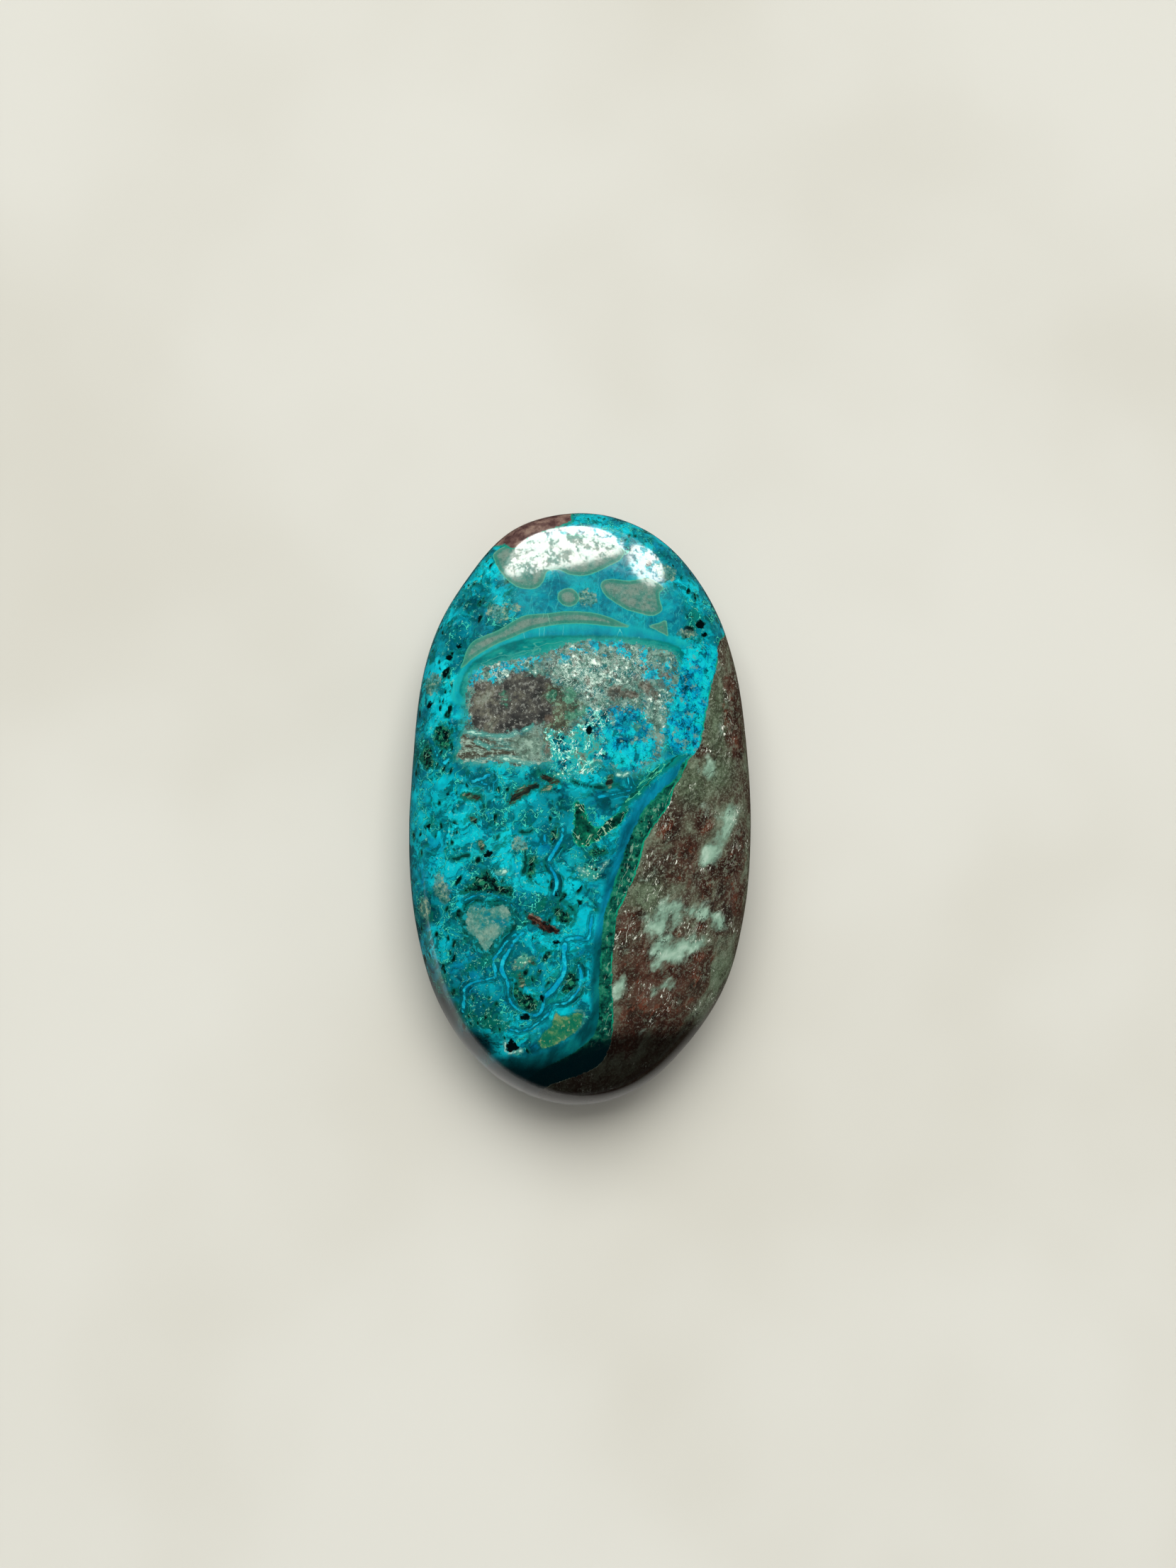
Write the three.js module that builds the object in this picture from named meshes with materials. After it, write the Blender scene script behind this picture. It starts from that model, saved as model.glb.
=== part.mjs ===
// A polished chrysocolla palm stone, lying face up on its ground flat.
// Millimetres, +Z up, +Y towards the narrower end. The origin is the middle of the stone's
// bounding box, on the surface that it rests on.
import * as THREE from "three";

// Driving dimensions
const LENGTH = 48; // along Y
const WIDTH = 27.7; // along X
const THICKNESS = 10; // along Z
const GIRDLE_HEIGHT = 4.4; // height of the widest section above the flat back
const CROWN_POWER = 2.6; // 2 is an elliptical crown; more is a flatter face with a tighter shoulder
const FLAT_SHARE = 0.62; // size of the flat on the back, as a share of the outline

// Facets
const SIDES = 96; // round the outline
const CROWN_RINGS = 14; // from the girdle to the top of the crown
const BACK_RINGS = 7; // from the flat on the back to the girdle

// The hand-ground outline at the girdle, anticlockwise from the widest place on the right.
// It is an oval with a straighter run, left by the grinding wheel, on its upper left.
const GIRDLE_OUTLINE = [
  [13.8, -2.5],
  [13.6, 4],
  [12.6, 11.6],
  [10.6, 17],
  [6.8, 21.7],
  [2.4, 23.8],
  [-2.2, 23.8],
  [-6, 22.2],
  [-9, 18.8],
  [-11.5, 14.6],
  [-12.8, 10.2],
  [-13.5, 4],
  [-13.8, -3],
  [-13.2, -9.7],
  [-11.4, -15.8],
  [-8.2, -20.5],
  [-4.2, -23.2],
  [0.2, -24],
  [4.6, -22.7],
  [8.6, -19.2],
  [11.6, -14.6],
  [13.2, -8.8],
];

// The outline as points spaced evenly round it, fitted to the stone's length and width.
function girdlePoints() {
  const corners = GIRDLE_OUTLINE.map(([x, y]) => new THREE.Vector3(x, y, 0));
  const curve = new THREE.CatmullRomCurve3(corners, true, "centripetal");
  const points = curve.getSpacedPoints(SIDES).slice(0, SIDES);
  const box = new THREE.Box3().setFromPoints(points);
  const middle = box.getCenter(new THREE.Vector3());
  const size = box.getSize(new THREE.Vector3());
  const fit = new THREE.Vector3(WIDTH / size.x, LENGTH / size.y, 1);
  return points.map((p) => p.sub(middle).multiply(fit));
}

// The crown from the girdle up, as [share of the outline, height] for each ring.
function crownProfile() {
  const rise = THICKNESS - GIRDLE_HEIGHT;
  const rings = [];
  for (let i = 0; i < CROWN_RINGS; i++) {
    const turn = (i / CROWN_RINGS) * (Math.PI / 2);
    const share = Math.cos(turn) ** (2 / CROWN_POWER);
    const height = Math.sin(turn) ** (2 / CROWN_POWER);
    rings.push([share, GIRDLE_HEIGHT + rise * height]);
  }
  return rings;
}

// The back from the edge of its flat out to just below the girdle: a quarter of an ellipse.
function backProfile() {
  const rings = [];
  for (let i = 0; i < BACK_RINGS; i++) {
    const turn = (i / BACK_RINGS) * (Math.PI / 2);
    const share = FLAT_SHARE + (1 - FLAT_SHARE) * Math.sin(turn);
    rings.push([share, GIRDLE_HEIGHT * (1 - Math.cos(turn))]);
  }
  return rings;
}

// One closed surface: the middle of the flat, the rings from the back to the crown, and the top.
function stoneGeometry() {
  const outline = girdlePoints();
  const rings = [...backProfile(), ...crownProfile()];
  const places = [0, 0, 0];
  for (const [share, height] of rings) {
    for (const p of outline) places.push(p.x * share, p.y * share, height);
  }
  places.push(0, 0, THICKNESS);

  const corner = (ring, side) => 1 + ring * SIDES + (side % SIDES);
  const last = rings.length - 1;
  const top = 1 + rings.length * SIDES;
  const faces = [];
  for (let side = 0; side < SIDES; side++) {
    faces.push(0, corner(0, side + 1), corner(0, side));
    for (let ring = 0; ring < last; ring++) {
      const a = corner(ring, side);
      const b = corner(ring, side + 1);
      const c = corner(ring + 1, side + 1);
      const d = corner(ring + 1, side);
      faces.push(a, b, c, a, c, d);
    }
    faces.push(corner(last, side), corner(last, side + 1), top);
  }

  const geometry = new THREE.BufferGeometry();
  geometry.setAttribute("position", new THREE.Float32BufferAttribute(places, 3));
  geometry.setIndex(faces);
  geometry.computeVertexNormals();
  return geometry;
}

const polishedChrysocolla = new THREE.MeshStandardMaterial({
  color: 0x0e8ca0,
  roughness: 0.15,
  metalness: 0,
});

const stone = new THREE.Mesh(stoneGeometry(), polishedChrysocolla);
stone.name = "stone";

const specimen = new THREE.Group();
specimen.add(stone);

export default specimen;
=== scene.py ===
"""A polished chrysocolla palm stone, lying face up on a pale surface."""
import math

import bpy
import numpy as np
from mathutils import Matrix, Vector, noise


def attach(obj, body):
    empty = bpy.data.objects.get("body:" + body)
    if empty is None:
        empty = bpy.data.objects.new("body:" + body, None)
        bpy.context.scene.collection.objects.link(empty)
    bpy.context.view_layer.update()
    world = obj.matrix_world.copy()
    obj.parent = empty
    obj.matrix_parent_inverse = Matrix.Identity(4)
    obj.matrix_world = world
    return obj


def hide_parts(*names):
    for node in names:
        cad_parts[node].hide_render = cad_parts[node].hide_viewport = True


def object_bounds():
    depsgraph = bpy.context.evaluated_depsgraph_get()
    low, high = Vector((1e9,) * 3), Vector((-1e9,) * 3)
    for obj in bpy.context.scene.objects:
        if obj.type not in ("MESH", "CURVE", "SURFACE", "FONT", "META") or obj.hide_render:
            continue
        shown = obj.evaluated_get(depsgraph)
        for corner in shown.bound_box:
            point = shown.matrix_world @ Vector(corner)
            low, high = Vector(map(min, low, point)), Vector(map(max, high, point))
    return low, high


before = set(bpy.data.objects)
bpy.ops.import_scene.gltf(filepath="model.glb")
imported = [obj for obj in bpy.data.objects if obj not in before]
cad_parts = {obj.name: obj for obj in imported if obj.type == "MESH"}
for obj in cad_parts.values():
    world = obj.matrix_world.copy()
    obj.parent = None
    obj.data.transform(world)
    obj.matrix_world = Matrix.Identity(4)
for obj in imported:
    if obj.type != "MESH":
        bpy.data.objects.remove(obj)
CAD_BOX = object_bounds()

MM = 0.001  # the stone is worked out in millimetres, and Blender's unit is the metre

# ---------------------------------------------------------------- the cut stone
GIRDLE_HEIGHT = 4.4  # height of the widest section above the flat back
CROWN_POWER = 2.6  # 2 is an elliptical crown; more is a flatter face with a tighter shoulder
FLAT_SHARE = 0.62  # size of the flat on the back, as a share of the outline
QUADS_ACROSS = 156
QUADS_ALONG = 270
OUTLINE_WAVES = 26  # how many waves describe the outline, enough to lose the CAD facets
INSET = 0.9995  # keeps the smoothed outline inside the CAD box

# ---------------------------------------------------------------- markings on the face
OVAL_POINTS = 14


def oval(x, y, half_width, half_height, turn=0.0):
    """The outline of an oval, turned anticlockwise by some degrees."""
    tilt = math.radians(turn)
    points = []
    for step in range(OVAL_POINTS):
        angle = step / OVAL_POINTS * math.tau
        a = half_width * math.cos(angle)
        b = half_height * math.sin(angle)
        right = a * math.cos(tilt) - b * math.sin(tilt)
        up = a * math.sin(tilt) + b * math.cos(tilt)
        points.append((x + right, y + up))
    return points


# Closed outlines in millimetres on the stone, seen from above, with +Y towards the narrow end.
OUTLINES = {
    "host_rock": [[
        (11.7, 13.9), (10.9, 12.8), (10.8, 11.4), (10.3, 9.9), (9.9, 8.2), (9.6, 6.8), (9.3, 5.2),
        (8.9, 4.1), (8.1, 3.2), (7.6, 2.0), (7.0, 1.0), (6.6, -0.2), (6.1, -1.0), (5.2, -2.2),
        (4.6, -3.2), (4.3, -4.4), (3.9, -5.6), (3.4, -6.8), (2.95, -7.9), (2.4, -9.0), (2.25, -10.4),
        (2.1, -12.4), (2.05, -14.6), (2.2, -16.8), (2.15, -18.3), (1.9, -19.6), (1.1, -20.8),
        (-0.4, -21.6), (-2.4, -22.3), (-3.6, -23.4), (-3.8, -27.0), (8.0, -30.0), (20.0, -20.0),
        (22.0, 0.0), (18.0, 14.0), (13.5, 14.6),
    ]],
    "selvage": [[
        (8.3, 3.5), (7.6, 3.0), (7.1, 1.9), (6.2, 1.1), (5.2, 0.1), (4.4, -0.9), (3.85, -2.0),
        (3.3, -3.2), (2.9, -4.3), (2.5, -5.4), (2.15, -6.6), (1.75, -7.8), (1.4, -9.0), (1.25, -10.2),
        (1.15, -11.6), (1.05, -13.2), (1.0, -14.6), (1.05, -16.0), (0.95, -17.4), (0.6, -18.5),
        (-0.3, -19.4), (-1.6, -20.2), (-3.2, -21.0), (-4.4, -21.9), (-4.8, -23.4), (-5.0, -28.0),
        (6.0, -28.0), (8.0, -12.0), (9.0, 0.0), (9.4, 3.4),
    ]],
    "deep_blue": [[
        (7.9, 3.5), (6.8, 2.6), (5.8, 1.8), (4.8, 0.9), (4.0, -0.1), (3.3, -1.2), (2.7, -2.1),
        (2.4, -3.4), (2.1, -4.8), (1.7, -6.1), (1.2, -7.5), (0.9, -9.0), (0.6, -10.6), (0.45, -12.2),
        (0.4, -14.2), (0.45, -16.0), (0.1, -17.3), (-0.9, -18.4), (-2.6, -19.5), (-4.4, -20.0),
        (-6.2, -20.2), (-7.4, -20.9), (-8.0, -23.0), (-7.0, -28.0), (4.0, -28.0), (6.0, -12.0),
        (8.0, 0.0), (8.6, 3.2),
    ]],
    "pocket": [[
        (-9.8, 3.2), (-9.9, 4.5), (-9.6, 5.6), (-9.4, 7.2), (-9.5, 8.8), (-9.0, 10.2), (-7.5, 10.8),
        (-6.0, 11.2), (-4.5, 11.4), (-3.0, 11.8), (-1.5, 12.4), (0.5, 12.7), (2.8, 12.7), (5.0, 12.3),
        (6.8, 11.9), (7.5, 10.8), (7.3, 9.2), (6.9, 7.6), (6.4, 6.0), (6.2, 4.8), (5.8, 3.6), (4.6, 2.6),
        (3.4, 2.2), (2.2, 2.6), (1.2, 3.0), (0.2, 2.7), (-0.8, 2.2), (-1.9, 2.3), (-2.8, 2.9),
        (-4.2, 3.0), (-5.0, 2.8), (-6.2, 3.0), (-7.6, 3.1),
    ]],
    "pocket_core": [[
        (-5.6, 10.2), (-4.2, 10.0), (-2.9, 9.5), (-2.4, 8.7), (-2.6, 7.8), (-1.8, 7.2), (-2.2, 6.3),
        (-3.0, 5.8), (-3.9, 5.9), (-4.8, 5.5), (-6.0, 5.3), (-7.0, 5.2), (-8.2, 5.4), (-9.0, 5.7),
        (-9.2, 6.8), (-8.9, 8.0), (-8.9, 9.3), (-8.0, 9.5), (-7.2, 9.3), (-6.4, 9.7),
    ]],
    "pocket_brown": [[
        (-3.0, 9.0), (-1.8, 8.9), (-1.0, 8.4), (-0.6, 7.4), (-1.0, 6.6), (-1.6, 5.8), (-2.4, 5.0),
        (-3.0, 4.4), (-3.6, 4.6), (-3.4, 5.4), (-2.8, 6.2), (-2.6, 7.0), (-3.0, 7.9),
    ]],
    "layers": [[
        (-10.0, 5.4), (-8.8, 5.1), (-7.4, 4.9), (-6.0, 4.9), (-4.9, 5.3), (-4.0, 5.7), (-3.6, 5.0),
        (-3.6, 3.9), (-4.2, 3.0), (-6.2, 2.9), (-8.2, 2.9), (-9.9, 3.0),
    ]],
    "pocket_lobe": [[
        (-5.9, 3.9), (-5.9, 4.7), (-5.1, 5.2), (-4.2, 5.2), (-3.7, 4.5), (-3.6, 3.7), (-4.2, 3.1),
        (-5.0, 3.1),
    ]],
    "azure": [
        [
            (0.3, 6.8), (1.2, 7.0), (2.2, 7.25), (3.6, 7.3), (4.4, 7.0), (4.8, 6.2), (5.0, 5.3),
            (5.3, 4.2), (5.4, 3.5), (4.5, 2.7), (3.4, 2.2), (2.2, 2.4), (1.2, 2.9), (1.0, 3.8),
            (1.0, 5.0), (0.1, 5.6),
        ],
        [
            (8.4, 12.4), (9.6, 12.6), (10.8, 12.6), (11.4, 11.0), (11.0, 9.6), (10.6, 8.0), (10.4, 6.0),
            (10.0, 4.4), (8.9, 3.9), (8.0, 3.7), (7.0, 3.9), (6.3, 4.4), (6.2, 5.5), (6.5, 6.6),
            (6.9, 7.8), (7.3, 9.0), (7.6, 10.0), (7.5, 11.0), (7.7, 11.9),
        ],
    ],
    "crystals": [
        [
            (-2.7, 5.2), (-1.6, 4.6), (-0.9, 5.4), (-0.2, 6.4), (0.3, 6.2), (0.2, 5.2), (0.9, 4.6),
            (0.9, 3.6), (0.6, 2.9), (-0.3, 2.2), (-1.4, 2.2), (-2.2, 2.6), (-2.8, 3.2), (-2.9, 4.2),
        ],
        oval(1.2, 6.3, 0.8, 0.5),
    ],
    "moss": [
        oval(-1.4, 8.2, 0.5, 0.75), oval(-0.8, 6.8, 0.75, 0.35, 15), oval(-6.4, 8.15, 0.22, 0.5, 20),
        oval(-2.7, 8.2, 0.2, 0.32), oval(3.9, 6.0, 0.2, 0.15),
    ],
    "rust": [
        oval(4.8, 9.15, 0.65, 0.5, -25), oval(5.4, 8.6, 0.35, 0.3), oval(3.3, 8.5, 0.9, 0.4),
        oval(2.2, 8.6, 0.6, 0.6), oval(6.5, 10.1, 0.5, 0.25), oval(3.3, 4.5, 0.28, 0.25),
        oval(0.6, 3.4, 0.25, 0.2), oval(-3.0, 6.4, 0.4, 0.35), oval(-3.1, 4.2, 0.25, 0.6, -10),
    ],
    "rind": [[
        (-10.0, 8.6), (-9.7, 10.0), (-8.9, 11.1), (-7.4, 12.0), (-5.6, 12.7), (-3.6, 13.1), (-1.0, 13.2),
        (1.5, 13.2), (4.0, 13.1), (6.0, 12.9), (7.4, 12.5), (8.0, 11.9), (7.6, 11.0), (6.0, 10.0),
        (0.0, 10.0), (-6.0, 9.4), (-9.0, 8.0),
    ]],
    "arch": [[
        (-10.7, 8.2), (-10.3, 9.8), (-9.7, 10.9), (-8.9, 11.5), (-7.5, 12.4), (-6.0, 13.0), (-4.0, 13.8),
        (-2.0, 14.1), (0.0, 14.2), (2.0, 14.1), (4.0, 14.0), (6.0, 13.6), (8.0, 13.0), (9.0, 12.4),
        (8.0, 11.0), (4.0, 11.0), (-4.0, 11.0), (-8.0, 9.0), (-9.6, 7.6),
    ]],
    "crescent": [[
        (-9.95, 10.6), (-9.7, 11.2), (-9.5, 11.9), (-9.0, 12.7), (-8.0, 13.2), (-7.0, 13.6), (-6.0, 14.2),
        (-5.0, 14.75), (-4.0, 14.9), (-3.0, 14.95), (-2.0, 15.1), (-1.0, 15.15), (0.0, 15.1),
        (1.0, 14.95), (2.0, 14.65), (2.8, 14.3), (3.5, 13.97), (2.4, 13.95), (1.2, 14.05), (0.0, 14.15),
        (-1.0, 14.15), (-2.0, 14.1), (-3.0, 13.95), (-4.0, 13.75), (-5.0, 13.4), (-6.0, 12.95),
        (-7.0, 12.55), (-8.0, 12.0), (-9.0, 11.35), (-9.6, 10.8),
    ]],
    "islands": [
        [
            (-7.15, 20.3), (-7.1, 19.3), (-6.6, 18.3), (-5.9, 17.5), (-5.0, 17.05), (-4.0, 17.05),
            (-3.4, 17.6), (-3.1, 18.4), (-2.2, 18.6), (-1.2, 18.2), (0.0, 18.15), (1.0, 18.5),
            (1.9, 19.0), (2.9, 19.6), (3.0, 20.6), (0.0, 21.6), (-3.0, 21.4), (-5.6, 21.0),
        ],
        [
            (1.2, 17.2), (1.4, 17.7), (2.1, 17.9), (3.2, 17.8), (4.2, 17.9), (5.0, 18.1), (5.8, 17.8),
            (6.35, 17.3), (6.0, 16.9), (6.0, 16.3), (6.2, 15.6), (5.8, 15.1), (5.0, 14.95), (4.0, 15.2),
            (3.2, 15.4), (2.4, 15.9), (1.6, 16.5),
        ],
        oval(-1.4, 16.3, 0.85, 0.75, -10),
        [(5.0, 14.1), (5.8, 14.35), (6.45, 14.6), (6.55, 14.0), (6.6, 13.35), (6.2, 13.5), (5.6, 13.8)],
    ],
    "faint_islands": [
        oval(0.1, 16.3, 0.8, 0.6, -15), oval(-7.0, 15.1, 1.0, 0.6, -30), oval(-5.8, 15.5, 0.8, 0.3),
        oval(6.6, 18.7, 0.9, 0.7, -30), oval(8.2, 13.6, 0.9, 0.25, 5), oval(-12.1, 9.5, 0.6, 0.85, -20),
        oval(-11.4, -7.0, 0.5, 1.2, 15), oval(-12.7, -8.4, 0.4, 0.8), oval(-5.3, -3.5, 0.6, 0.6),
        oval(-5.0, -12.7, 0.9, 0.5, 25),
    ],
    "tip_rock": [[
        (-7.3, 21.0), (-6.4, 20.9), (-5.6, 20.6), (-5.0, 20.9), (-4.2, 21.5), (-2.8, 22.2), (-1.4, 22.7),
        (-0.9, 23.3), (-1.4, 25.0), (-7.0, 25.0), (-9.0, 22.0),
    ]],
    "heart": [[
        (-9.2, -8.4), (-8.7, -8.15), (-8.1, -8.4), (-7.7, -8.6), (-7.2, -8.4), (-6.6, -8.25),
        (-6.1, -8.7), (-6.1, -9.4), (-6.5, -10.3), (-7.1, -10.9), (-7.8, -11.8), (-8.3, -11.4),
        (-8.6, -10.8), (-9.2, -10.5), (-9.4, -9.4),
    ]],
    "eyes": [
        [
            (-9.9, -7.3), (-9.1, -6.8), (-8.6, -6.2), (-8.0, -5.5), (-7.4, -6.1), (-6.9, -6.7),
            (-5.9, -7.0), (-6.2, -7.6), (-7.2, -7.4), (-8.2, -7.2), (-9.1, -7.2),
        ],
        oval(-6.5, -7.15, 0.4, 0.3, -20), oval(-11.3, 5.1, 0.6, 0.95, 10),
        oval(-12.45, 3.6, 0.42, 0.9, 5), oval(-1.9, -9.1, 0.7, 0.45, -35),
        oval(-4.6, -15.9, 0.85, 0.55, -35), oval(-1.35, -14.3, 0.6, 0.8, -10),
        oval(-5.5, -15.1, 0.5, 0.45), oval(0.8, -4.1, 0.6, 0.25, 5), oval(-4.4, -5.4, 0.35, 1.0, -5),
        oval(-9.1, 0.3, 0.75, 0.25, -5), oval(-2.45, -2.7, 0.3, 0.7, -10),
    ],
    "wedge": [[
        (-0.95, -0.1), (-0.2, -0.4), (0.05, -1.3), (0.6, -2.0), (1.2, -2.0), (2.0, -1.3), (2.8, -0.8),
        (3.4, 0.0), (3.0, -1.3), (2.4, -2.1), (1.5, -2.6), (0.6, -3.3), (-0.3, -3.7), (-1.0, -3.3),
        (-1.15, -2.0), (-1.0, -1.0),
    ]],
    "strand": [[
        (8.4, 3.7), (7.4, 3.75), (6.4, 3.3), (5.5, 2.8), (4.8, 2.1), (4.2, 1.5), (3.7, 0.7), (3.0, -0.1),
        (2.6, -0.9), (3.2, -0.7), (3.8, 0.0), (4.4, 0.4), (4.9, 1.1), (5.6, 1.8), (6.4, 2.4), (7.2, 2.9),
        (8.0, 3.1),
    ]],
    "rust_streak": [[
        (-4.75, -9.0), (-4.3, -8.95), (-3.7, -9.3), (-3.0, -9.7), (-2.4, -10.1), (-1.9, -10.35),
        (-2.4, -10.5), (-3.2, -10.3), (-3.9, -9.9), (-4.5, -9.5),
    ]],
    "splinters": [
        [
            (-6.15, -0.3), (-6.0, 0.35), (-5.4, 0.9), (-4.5, 1.2), (-3.7, 1.2), (-4.2, 0.75), (-4.9, 0.4),
            (-5.4, -0.1),
        ],
        [(-4.0, 1.95), (-3.2, 1.95), (-2.4, 1.6), (-2.0, 1.3), (-2.6, 1.3), (-3.3, 1.6)],
        [(-3.7, 0.75), (-3.2, 1.15), (-2.7, 1.15), (-3.0, 0.8)],
        oval(1.8, 1.5, 0.3, 0.5, -10), oval(-5.1, -14.2, 0.22, 0.7, 10),
        oval(-4.3, -12.7, 0.3, 0.14, -20), oval(-9.0, 0.3, 0.7, 0.22, -12),
        oval(-8.9, -1.5, 0.35, 0.2, -35), oval(-8.3, -3.6, 0.2, 0.45, 10),
    ],
    "pale_nests": [
        oval(0.3, -5.7, 0.95, 0.6, 5), oval(-6.7, -5.6, 0.5, 0.22, 10), oval(-0.6, -15.0, 0.45, 0.3, 30),
        oval(-4.9, -12.5, 0.7, 0.4, 25), oval(-2.5, 2.0, 0.8, 0.2, 5),
    ],
    "nugget": [[
        (-2.4, -16.6), (-2.1, -16.9), (-1.4, -16.9), (-0.8, -16.65), (-0.3, -16.7), (-0.25, -17.2),
        (-0.45, -17.9), (-1.0, -18.4), (-1.9, -18.9), (-2.9, -19.4), (-3.5, -19.3), (-3.6, -18.8),
        (-3.2, -18.2), (-2.8, -17.8), (-2.5, -17.2),
    ]],
    "pits": [
        [(-6.1, -19.7), (-6.15, -19.1), (-5.8, -18.7), (-5.5, -19.0), (-5.25, -19.5), (-5.6, -19.65)],
        oval(9.4, 14.5, 0.4, 0.35, 20), oval(9.7, 13.6, 0.3, 0.2, 30), oval(-4.75, -17.0, 0.42, 0.2, 8),
        oval(0.2, 5.6, 0.28, 0.35), oval(-10.05, 12.4, 0.18, 0.2), oval(-10.85, 11.5, 0.3, 0.3),
        oval(-11.2, 10.1, 0.15, 0.2), oval(-11.0, 9.5, 0.12, 0.15), oval(-12.4, 7.8, 0.25, 0.3, -30),
        oval(-10.9, 0.55, 0.13, 0.15), oval(-12.4, -1.95, 0.16, 0.2), oval(-7.8, -4.3, 0.35, 0.25, 20),
        oval(0.75, -5.4, 0.2, 0.18), oval(-2.4, -7.4, 0.15, 0.35), oval(-2.4, -11.2, 0.3, 0.2),
        oval(-3.4, -15.6, 0.16, 0.4, 15),
    ],
    "pale_rock": [
        oval(6.4, -9.2, 1.6, 1.0, 35), oval(6.6, -11.6, 1.3, 1.0), oval(10.6, -3.0, 0.6, 1.6, -36),
        oval(11.5, -1.2, 0.4, 1.2, -12), oval(9.9, -4.4, 0.4, 0.9, -40), oval(8.8, -8.7, 1.6, 0.3, -10),
        oval(8.4, -11.2, 1.6, 0.5, 15), oval(10.6, -9.6, 0.5, 0.5), oval(9.9, 2.6, 0.4, 0.6),
        oval(5.6, -12.9, 0.4, 0.3), oval(2.7, -14.6, 0.3, 0.7, -25), oval(6.2, -14.6, 0.9, 0.25, 25),
    ],
    "red_rock": [
        oval(9.5, -1.6, 0.5, 0.8), oval(8.0, -4.4, 0.8, 1.2, 10), oval(7.3, -6.0, 0.8, 0.4),
        oval(10.6, -5.0, 0.5, 1.0), oval(9.6, -6.8, 0.5, 0.6), oval(6.0, -2.0, 0.7, 0.7),
        oval(7.6, -10.2, 0.8, 0.7, 20), oval(9.2, -10.0, 0.4, 0.6), oval(4.0, -12.8, 1.6, 1.1, 20),
        oval(3.4, -9.4, 1.0, 0.6, 20), oval(5.2, -10.6, 0.7, 0.35, 30), oval(11.8, 7.5, 0.5, 3.5, 5),
        oval(12.3, -5.5, 0.8, 3.0, -5), oval(3.0, -19.0, 1.0, 1.0), oval(5.4, -13.6, 1.6, 0.7, 30),
        oval(4.6, -16.6, 1.6, 0.8, 20), oval(8.6, -14.6, 1.4, 0.6, 45), oval(7.0, -17.4, 1.4, 0.7, 40),
        oval(9.4, -12.4, 1.0, 0.5, 50), oval(6.0, -12.9, 0.5, 0.35), oval(5.2, -16.2, 1.6, 0.9),
        oval(9.2, 4.0, 0.5, 0.4),
    ],
    "olive_rock": [
        oval(10.6, 6.5, 0.9, 3.2, -4), oval(8.4, 1.4, 1.4, 1.6, 20), oval(10.6, 2.6, 1.2, 1.6, -10),
        oval(4.8, -7.4, 1.2, 1.4, -10), oval(11.2, -13.6, 0.9, 1.6, -20),
    ],
}
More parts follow.
